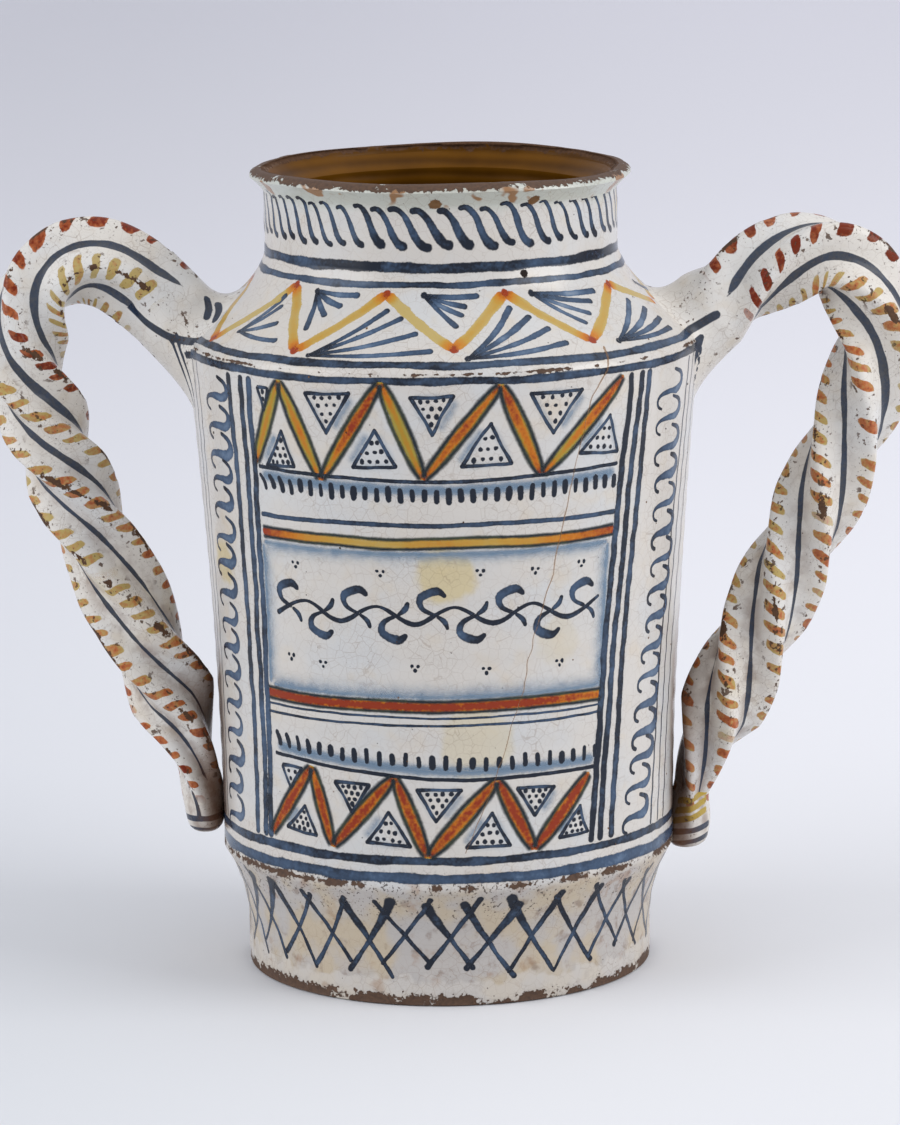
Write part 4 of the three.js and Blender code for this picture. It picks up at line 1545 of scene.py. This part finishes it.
    def paint_flaws(self) -> None:
        """Draws the hairline crack, the open pinhole and the stains."""
        crack = [(40.0, 201.5), (38.0, 196.0), (34.0, 187.0), (31.0, 170.0), (27.1, 145.0)]
        crack += [(25.0, 133.0), (21.5, 118.0), (18.5, 103.0), (17.6, 96.6), (11.0, 72.0), (4.0, 50.0)]
        self.flaws.stroke(crack, [0.9, 0.6, 0.4, 0.3, 0.4, 0.4, 0.3, 0.3, 0.25, 0.25, 0.25], 0.16, 0.7)
        self.flaws.dot((26.6, 222.5), 1.4, 3.0)
        self.flaws.dot((26.7, 222.6), 0.9, 3.0)
        for angle, size in ((-1.5, 2.4), (30.0, 2.2), (-118.0, 2.6), (142.0, 2.0)):
            self.flaws.dot((angle, 244.4), size, 0.5)
        for _ in range(90):
            spot = (self.draw(-180, 180), self.draw(45, 218))
            self.flaws.dot(spot, self.draw(0.18, 0.4), self.draw(0.4, 1.4))

    def build(self) -> None:
        """Paints everything and makes the pieces."""
        self.paint_rings()
        self.paint_neck()
        for side in Side:
            self.paint_shoulder(side)
            self.paint_frames(side)
            self.paint_panel(side)
        self.paint_foot()
        self.paint_flaws()
        materials = {paint: paint.value.material() for paint in Paint}
        for work in self.layers:
            work.build(materials)


# Handles


BLUE_INK, YELLOW_INK = 0, 1


@dataclass
class HandleRoute:
    """The middle line of one handle and the twist of its rope, as in the solids."""

    name: str
    side: int
    crown_reach: float
    crown_rise: float
    reach: float
    reach_rise: float
    meet_height: float
    twist: list[Spot]
    heats: list[list[Spot]]
    skin: VesselSkin
    inks: list[tuple[int, float, list[Spot]]] = field(default_factory=list)
    rope_radius: float = 14.0
    gap: float = 0.3
    pressed: float = 24.0
    pad_length: float = 19.0
    pad_tip: float = 11.0
    root_angle: float = 42.0
    collar_sink: float = 6.0
    collar_drop: float = 1.5
    fullness: float = 0.55
    arc_pull: float = 0.5523
    crown_pull: float = 0.385
    fall_pull: float = 0.143
    press_pull: float = 0.417

    def __post_init__(self) -> None:
        """Samples the middle line."""
        edge, shoulder = self.skin.shoulder_edge, self.skin.shoulder_radius
        crown = (shoulder + self.crown_reach, edge + self.crown_rise)
        outer = (shoulder + self.reach, edge + self.reach_rise)
        meet_reach = float(self.skin.radius_at(self.meet_height)) + self.gap + self.rope_radius
        meet = (meet_reach, self.meet_height)
        tip_height = self.meet_height - self.pressed - self.pad_length
        tip = (float(self.skin.radius_at(tip_height)) + self.pad_tip / 2, tip_height)
        root = (shoulder - self.collar_sink, edge - self.collar_drop)
        rise = (crown[0] - root[0]) * self.crown_pull
        turn = math.radians(self.root_angle)
        run = outer[1] - meet[1]
        full = np.array([self.fullness * (outer[0] - meet[0]), run / 2])
        slope = full / np.linalg.norm(full) * self.pressed * self.press_pull
        pull = self.arc_pull
        curves = [
            (root, (root[0] + rise * math.cos(turn), root[1] + rise * math.sin(turn)),
             (crown[0] - rise, crown[1]), crown),
            (crown, (crown[0] + pull * (outer[0] - crown[0]), crown[1]),
             (outer[0], outer[1] + pull * (crown[1] - outer[1])), outer),
            (outer, (outer[0], outer[1] - run * self.fall_pull),
             (meet[0] + full[0], meet[1] + full[1]), meet),
            (meet, (meet[0] - slope[0], meet[1] - slope[1]),
             (tip[0], tip[1] + self.pad_length), tip),
        ]
        spots = [np.array([root])]
        for curve in curves:
            t = np.linspace(0, 1, 160)[1:, None]
            a, b, c, d = (np.array(p)[None] for p in curve)
            spots.append(
                (1 - t) ** 3 * a + 3 * t * (1 - t) ** 2 * b + 3 * t**2 * (1 - t) * c + t**3 * d
            )
        self.line = np.concatenate(spots)
        steps = np.linalg.norm(np.diff(self.line, axis=0), axis=1)
        self.run = np.concatenate([[0], np.cumsum(steps)])
        self.length = float(self.run[-1])
        tail = self.run > self.length / 2
        order = np.argsort(self.line[tail][:, 1])
        end_height = self.meet_height - self.pressed
        heights, runs = self.line[tail][order, 1], self.run[tail][order]
        self.coil_end = float(np.interp(end_height, heights, runs))

    def middle_at(self, distance: Array) -> tuple[Array, Array]:
        """Reach and height of the middle line at each distance."""
        reach = np.interp(distance, self.run, self.line[:, 0])
        return reach, np.interp(distance, self.run, self.line[:, 1])

    def turn_at(self, distance: Array) -> Array:
        """Turn of the rope in radians at each distance."""
        shares, passed = (np.array(column) for column in zip(*self.twist))
        share = np.clip(distance / self.length, 0, 1)
        i = np.clip(np.searchsorted(shares, share, side="right") - 1, 0, len(shares) - 2)
        span = shares[i + 1] - shares[i]
        t = (share - shares[i]) / span
        rise = passed[i + 1] - passed[i]
        low, high = (self._station_slope(station, shares, passed) for station in (i, i + 1))
        bend = t * (1 - t) * ((1 - t) * (low * span - rise) - t * (high * span - rise))
        return (passed[i] + t * rise + bend) * math.pi / 2

    @staticmethod
    def _station_slope(i: Array, shares: Array, passed: Array) -> Array:
        """Slope of the twist at a station, from its neighbours."""
        before, after = np.maximum(i - 1, 0), np.minimum(i + 1, len(shares) - 1)
        return (passed[after] - passed[before]) / (shares[after] - shares[before])

    def heat_at(self, distance: Array, coil: Array) -> Array:
        """How red the dabs of paint are along each coil."""
        heat = np.zeros(len(distance))
        for number, stations in enumerate(self.heats):
            spots, values = zip(*stations)
            heat = np.where(coil == number, np.interp(distance, spots, values), heat)
        return heat

    def section(
        self, distance: Array, radius: Array, angle: Array, flat: Array | None
    ) -> Array:
        """Points of the handle at distances along it.

        Args:
            distance: Millimetres from the root.
            radius: Distance from the middle line.
            angle: Turn from the outer side.
            flat: Share that the thickness is pressed to, or None for the rope's own.

        Returns:
            The points.
        """
        reach, height = self.middle_at(distance)
        step = 0.4
        ahead, behind = self.middle_at(distance + step), self.middle_at(distance - step)
        along_reach, along_height = ahead[0] - behind[0], ahead[1] - behind[1]
        size = np.hypot(along_reach, along_height)
        if flat is None:
            flat = self.flatness(distance)
        outward = radius * np.cos(angle) * flat
        over = radius * np.sin(angle)
        x = self.side * (reach - outward * along_height / size)
        z = height + outward * along_reach / size
        return in_three(x, -self.side * over, z)

    def flatness(self, distance: Array) -> Array:
        """Share of its thickness that the rope keeps where it is pressed to the wall."""
        reach, height = self.middle_at(distance)
        clear = reach - self.skin.radius_at(height) - self.gap
        pressed = np.clip(clear, self.gap, self.rope_radius)
        half = np.where(height < self.meet_height, pressed, self.rope_radius)
        return half / self.rope_radius


@dataclass
class RopeHandle:
    """Four coils twisted into a rope, with the collar and the pad that hold it."""

    route: HandleRoute
    material: bpy.types.Material
    groove_depth: float = 4.9
    crest_softness: float = 0.3
    collar_length: float = 26.0
    coil_overlap: float = 1.5
    unevenness: float = 0.45
    collar_flare: float = 0.8
    web_start: float = 13.0
    web_up: float = 18.0
    web_down: float = 21.0
    web_width: float = 20.0
    web_sink: float = 0.5
    pad_flare: float = 0.0
    pad_width: float = 27.0
    pad_tip_width: float = 19.0
    ring_step: float = 1.25
    lobe_steps: int = 22
    seed: float = 0.0

    def lobe_radius(self, share: Array) -> Array:
        """Radius of the rope, from a ridge (share 0) to a groove (share 1)."""
        soft = self.crest_softness
        rise = np.sqrt(np.sin(share * math.pi / 2) ** 2 + soft**2) - soft
        return self.route.rope_radius - self.groove_depth * rise / (math.sqrt(1 + soft**2) - soft)

    def _hand(self, points: Array) -> Array:
        """How far rolled clay, which is never even, stands out at each point."""
        return roughness_at(points, 0.085, self.seed) * self.unevenness

    def _wear(self, points: Array, share: Array) -> Array:
        """How worn the ridges are at each point."""
        patches = roughness_at(points, 0.13, self.seed + 40)
        return np.clip(1 - share / 0.24, 0, 1) ** 0.7 * np.clip(0.34 + 0.8 * patches, 0, 1)

    def _coil(self, number: int) -> None:
        """Models one coil of the rope."""
        route = self.route
        start, end = self.collar_length - self.coil_overlap, route.coil_end + 1.0
        rows = math.ceil((end - start) / self.ring_step)
        hidden = 2
        marks: dict[str, Array] = {}

        def place(u: Array, v: Array) -> Array:
            column = np.rint(u * (self.lobe_steps + hidden)).astype(int)
            distance = start + v * (end - start)
            across = np.clip(column - 1, 0, self.lobe_steps) / self.lobe_steps * 2 - 1
            middle = (column == 0) | (column == self.lobe_steps + hidden)
            share = np.abs(across)
            crest = number * math.pi / 2 - route.turn_at(distance)
            radius = np.where(middle, 0.0, self.lobe_radius(share))
            angle = crest + across * math.pi / 4
            points = route.section(distance, radius, angle, None)
            grown = radius + self._hand(points) * (radius > 1)
            points = route.section(distance, grown, angle, None)
            wear = self._wear(points, share) * ~middle
            chipped = np.clip((wear - 0.5) / 0.3, 0, 1) * 0.5
            coil = np.full(len(u), float(number))
            marks["sweep"] = in_three(distance, share, coil)
            marks["wear"] = in_three(wear, wear, wear)
            marks["lobing"] = in_three(np.ones(len(u)), across, route.heat_at(distance, coil))
            return route.section(distance, grown - chipped, angle, None)

        columns = self.lobe_steps + hidden
        piece = rolled_sheet(f"{route.name}_rope_coil_{number + 1}", columns, rows, place)
        mark_points(piece, marks)
        close_sheet(piece, 50)
        piece.data.materials.append(self.material)
        hand_over(piece, f"{route.name}_handle_coil_{number + 1}")

    def _whole(self, kind: str, place_name: str, start: float, end: float, ring: Ring) -> None:
        """Models and dresses a piece that goes right round the rope.

        Args:
            kind: What the piece is.
            place_name: Where it sits, as its node's name says.
            start: Distance where it starts.
            end: Distance where it ends.
            ring: Gives its points and how lobed they are, for distances and angles.
        """
        sides, row_height = 96, 1.0
        rows = max(8, math.ceil((end - start) / row_height))
        marks: dict[str, Array] = {}

        def place(u: Array, v: Array) -> Array:
            distance = start + v * (end - start)
            angle = u * 2 * math.pi
            points, lobing = ring(distance, angle)
            turned = (angle + self.route.turn_at(np.maximum(distance, 0.0))) / (math.pi / 2)
            nearest = np.rint(turned)
            coil = np.mod(nearest, 4)
            share = np.abs(turned - nearest) * 2
            wear = self._wear(points, share) * lobing
            marks["sweep"] = in_three(distance, share, coil)
            marks["wear"] = in_three(wear, wear, wear)
            heat = self.route.heat_at(distance, coil)
            marks["lobing"] = in_three(lobing, (turned - nearest) * 2, heat)
            marks["ink"] = self._inked(points, start, end, ring)
            return points

        piece = rolled_sheet(f"{self.route.name}_{kind}", sides, rows, place)
        mark_points(piece, marks)
        close_sheet(piece, 60)
        piece.data.materials.append(self.material)
        hand_over(piece, f"{self.route.name}_{place_name}_{kind}")

    def _inked(self, points: Array, start: float, end: float, ring: Ring) -> Array:
        """How near each point is to the lines painted on a piece.

        Args:
            points: Points of the piece.
            start: Distance where it starts.
            end: Distance where it ends.
            ring: Gives its points for distances and angles.

        Returns:
            Nearness to the blue lines and to the yellow bars, 1 on a line and 0.5 at its edge.
        """
        near = np.zeros((len(points), 3))
        for channel, width, stations in self.route.inks:
            spots = np.array(stations, dtype=float)
            if spots[0, 0] < start - 1 or spots[0, 0] > end:
                continue
            t = np.linspace(0, len(spots) - 1, 60)
            distance = np.interp(t, np.arange(len(spots)), spots[:, 0])
            angle = np.radians(np.interp(t, np.arange(len(spots)), spots[:, 1]))
            line = ring(np.clip(distance, start, end), angle)[0]
            away = np.linalg.norm(points[:, None, :] - line[None, :, :], axis=2).min(axis=1)
            near[:, channel] = np.maximum(near[:, channel], 1 - away / width)
        return near

    def _lobed(self, distance: Array, angle: Array) -> Array:
        """Radius of the whole rope at an angle from its outer side."""
        turned = (angle + self.route.turn_at(distance)) / (math.pi / 2)
        return self.lobe_radius(np.abs(turned - np.rint(turned)) * 2)

    def _web(self, share: Array, angle: Array, rim: Array) -> Array:
        """Clay drawn out from the collar over the vessel.

        Args:
            share: Share of the way from the vessel (0) to the collar (1).
            angle: Turn from the outer side.
            rim: Points of the collar where the web ends.

        Returns:
            Points of the web.
        """
        route = self.route
        turn = np.cos(angle)
        height = route.skin.shoulder_edge - route.collar_drop
        height = height + turn * np.where(turn > 0, self.web_up, self.web_down)
        aside = -route.side * self.web_width * np.sin(angle)
        reach = route.skin.radius_at(height) - self.web_sink
        foot = in_three(route.side * np.sqrt(reach**2 - aside**2), aside, height)
        behind, ahead = (
            route.section(np.full(len(angle), self.web_start + step), 0 * angle, angle, None)
            for step in (-0.5, 0.5)
        )
        back = behind - ahead
        low, high = np.zeros(len(angle)), np.full(len(angle), self.collar_length + self.web_start)
        for _ in range(20):
            middle = (low + high) / 2
            spot = rim + back * middle[:, None]
            inside = np.hypot(spot[:, 0], spot[:, 1]) <= route.skin.radius_at(spot[:, 2])
            low, high = np.where(inside, low, middle), np.where(inside, middle, high)
        meet = rim + back * low[:, None]
        t = share[:, None]
        return (1 - t) ** 2 * foot + 2 * t * (1 - t) * meet + t**2 * rim

    def _collar(self) -> None:
        """Models the collar, in which the coils melt into the shoulder."""
        route = self.route

        def ring(distance: Array, angle: Array) -> tuple[Array, Array]:
            held = np.maximum(distance, self.web_start)
            share = held / self.collar_length
            lobing = np.clip((share - 0.5) / 0.5, 0, 1) ** 1.2
            round_radius = route.rope_radius - 0.8 + self.collar_flare * (1 - share)
            radius = self._lobed(held, angle) * lobing + round_radius * (1 - lobing)
            points = route.section(held, radius, angle, None)
            radius = radius + self._hand(points)
            rim = route.section(held, radius, angle, None)
            start = route.section(np.full_like(held, self.web_start), radius, angle, None)
            web = self._web(np.clip(distance / self.web_start, 0, 1), angle, start)
            on_web = distance < self.web_start
            return np.where(on_web[:, None], web, rim), np.where(on_web, 0.0, lobing)

        self._whole("collar", "shoulder", 0.0, self.collar_length, ring)

    def _pad(self) -> None:
        """Models the pad, in which the pressed coils end."""
        route = self.route
        start = route.coil_end - 0.5
        start_flat = float(route.flatness(np.array([start]))[0])

        def ring(distance: Array, angle: Array) -> tuple[Array, Array]:
            share = (distance - start) / (route.length - start)
            lobing = 1 - np.sqrt(np.clip(share, 0, 1))
            tip = np.sqrt(1 - 0.94 * share**16)
            half = (start_flat * route.rope_radius * (1 - share) + route.pad_tip / 2 * share) * tip
            flare = np.sin(np.clip(share / 0.55, 0, 1) * math.pi / 2)
            flare = flare * (1 - 0.5 * np.clip(share * 2.5 - 1.5, 0, 1)) * self.pad_flare * tip
            half = half + flare * np.clip(np.cos(angle), 0, 1)
            width = (self.pad_width * (1 - share) + self.pad_tip_width * share) / 2 * tip
            flat = np.full_like(share, start_flat)
            lobed = route.section(distance, self._lobed(distance, angle), angle, flat)
            out, over = half * np.cos(angle), width * np.sin(angle)
            turned = np.arctan2(over, out)
            oval = route.section(distance, np.hypot(out, over), turned, np.ones_like(share))
            return lobed * lobing[:, None] + oval * (1 - lobing)[:, None], lobing

        self._whole("pad", "wall", start, route.length, ring)

    def build(self) -> None:
        """Models and dresses the whole handle."""
        for number in range(4):
            self._coil(number)
        self._collar()
        self._pad()


def handle_routes(skin: VesselSkin) -> list[HandleRoute]:
    """The two handles, which the potter shaped and painted by eye."""
    left_twist = [(0, 0), (0.19, 0.05), (0.37, 1.5), (0.57, 3.5), (0.75, 4.5), (0.88, 5.5), (1, 6.3)]
    left_heats = [
        [(0, 1.0), (105, 0.85), (130, 0.3), (180, 0.35), (225, 0.8)],
        [(0, 0.25), (150, 0.3), (185, 0.6), (225, 0.85)],
        [(0, 0.3), (140, 0.35), (190, 0.75), (225, 0.85)],
        [(0, 0.1), (140, 0.15), (180, 0.4), (225, 0.8)],
    ]
    right_heats = [
        [(0, 0.3), (110, 0.45), (240, 0.65)],
        [(0, 0.95), (75, 0.9), (110, 0.35), (240, 0.65)],
        [(0, 1.15), (78, 1.1), (96, 0.2), (180, 0.3), (240, 0.65)],
        [(0, 0.2), (60, 0.3), (150, 0.3), (240, 0.6)],
    ]
    right_twist = [(0, 0), (1, 7.4)]
    left = HandleRoute("left", -1, 29.7, 24.8, 50.2, -0.5, 84.0, left_twist, left_heats, skin)
    right = HandleRoute("right", 1, 37.0, 24.3, 54.5, -2.5, 77.0, right_twist, right_heats, skin)
    tip = left.length
    left.inks += [
        (BLUE_INK, 2.4, [(0, 285), (5, 272), (12, 250), (19, 236), (26, 227)]),
        (BLUE_INK, 2.2, [(0, 270), (3, 262), (5, 256)]),
        (BLUE_INK, 0.9, [(0, 222), (3, 236), (7, 250), (10, 262)]),
        (BLUE_INK, 0.9, [(0, 208), (4, 225), (8, 242), (11, 254)]),
        (BLUE_INK, 2.2, [(2.5, 303), (4, 314), (6.5, 326)]),
        (BLUE_INK, 2.2, [(6.5, 303), (8, 314), (10.5, 326)]),
        (BLUE_INK, 1.9, [(tip - 5.5, 195), (tip - 6.0, 270), (tip - 5.5, 350)]),
        (BLUE_INK, 1.7, [(tip - 1.8, 195), (tip - 2.2, 270), (tip - 1.8, 350)]),
        (BLUE_INK, 1.7, [(tip - 15.0, 292), (tip - 11.0, 286), (tip - 7.0, 284)]),
    ]
    tip = right.length
    right.inks += [
        (BLUE_INK, 2.6, [(0, 76), (5, 80), (10, 87), (14, 92)]),
        (BLUE_INK, 2.0, [(0, 91), (4, 94), (7, 98)]),
        (BLUE_INK, 1.8, [(7, 98), (4, 106), (2, 114)]),
        (BLUE_INK, 0.9, [(3, 110), (1, 120), (0, 128)]),
        (BLUE_INK, 1.0, [(7, 98), (5, 118), (0, 146)]),
        (BLUE_INK, 1.9, [(tip - 5.0, 165), (tip - 7.0, 90), (tip - 8.5, 20)]),
        (BLUE_INK, 1.9, [(tip - 1.2, 165), (tip - 3.0, 90), (tip - 4.5, 20)]),
    ]
    for back in (17.8, 14.6, 11.4):
        at = tip - back
        right.inks.append((YELLOW_INK, 2.0, [(at + 2.4, 140), (at, 90), (at - 2.2, 30)]))
    return [left, right]


# Studio


@dataclass
class Studio:
    """Camera, lamps and the paper sweep that the vase stands on."""

    camera_place: Spot3 = (1.5, -1574.0, 433.0)
    pitch: float = 11.06
    roll: float = -0.75
    focal_pixels: float = 5152.0
    picture_height: float = 1125.0
    lamps: tuple[tuple[str, Spot3, float, float], ...] = (
        ("key_lamp", (1.6, -0.6, 1.0), 1.2, 19.0),
        ("fill_lamp", (-1.6, -0.55, 0.8), 1.4, 15.0),
        ("top_lamp", (0.5, 0.3, 1.7), 1.4, 3.0),
    )
    lit_point: Spot3 = (0.0, 0.0, 0.13)
    air: Color = srgb(248, 250, 255)
    air_strength: float = 0.735
    paper_size: float = 9000.0
    paper_front: float = -2500.0
    paper_floor: float = 6000.0
    paper_bend: float = 1200.0

    def _camera(self) -> None:
        """Sets the camera where the photograph was taken from."""
        lens = bpy.data.cameras.new("photo_camera")
        lens.sensor_fit = "VERTICAL"
        lens.sensor_height = 36.0
        lens.lens = self.focal_pixels / self.picture_height * lens.sensor_height
        lens.clip_end = 50.0
        camera = bpy.data.objects.new("photo_camera", lens)
        tilt = Matrix.Rotation(math.radians(90 - self.pitch), 4, "X")
        turn = Matrix.Rotation(math.radians(self.roll), 4, "Z")
        move = Matrix.Translation(Vector(self.camera_place) * MM)
        camera.matrix_world = move @ tilt @ turn
        bpy.context.scene.collection.objects.link(camera)
        bpy.context.scene.camera = camera

    def _lamps(self) -> None:
        """Hangs the soft lamps and sets the light of the room."""
        for name, place, size, power in self.lamps:
            lamp = bpy.data.lights.new(name, "AREA")
            lamp.size = size
            lamp.energy = power
            holder = bpy.data.objects.new(name, lamp)
            aim = Vector(self.lit_point) - Vector(place)
            holder.location = place
            holder.rotation_euler = aim.to_track_quat("-Z", "Y").to_euler()
            bpy.context.scene.collection.objects.link(holder)
        world = bpy.data.worlds.new("studio_air")
        world.use_nodes = True
        air = world.node_tree.nodes["Background"]
        air.inputs["Color"].default_value = self.air
        air.inputs["Strength"].default_value = self.air_strength
        bpy.context.scene.world = world

    def _paper(self) -> None:
        """Lays the paper, which curves up behind the vase."""

        def place(u: Array, v: Array) -> Array:
            run, flat, bend = v * self.paper_size, self.paper_floor, self.paper_bend
            turn = np.clip((run - flat) / bend, 0, math.pi / 2)
            y = self.paper_front + np.minimum(run, flat) + bend * np.sin(turn)
            z = bend * (1 - np.cos(turn)) + np.maximum(run - flat - bend * math.pi / 2, 0)
            return in_three((u - 0.5) * self.paper_size, y, z)

        paper = rolled_sheet("paper_sweep", 8, 72, place)
        bpy.ops.object.shade_smooth_by_angle(angle=math.radians(40))
        paper.data.materials.append(StudioPaper().material())

    def build(self) -> None:
        """Sets up the whole studio."""
        self._camera()
        self._lamps()
        self._paper()
        bpy.context.scene.view_settings.view_transform = "Standard"
        LOG.info("studio: %d lamps", len(self.lamps))


def main() -> None:
    """Builds the studio, the vessel, its paint and its handles."""
    logging.basicConfig(level=logging.INFO)
    Studio().build()
    skin = VesselSkin()
    Vessel(skin).build()
    Decoration(skin).build()
    glaze = RopeGlaze().material()
    left, right = handle_routes(skin)
    RopeHandle(left, glaze, seed=3.0, pad_flare=0.0).build()
    RopeHandle(right, glaze, seed=20.0, pad_flare=3.2).build()


if __name__ == "__main__":
    main()
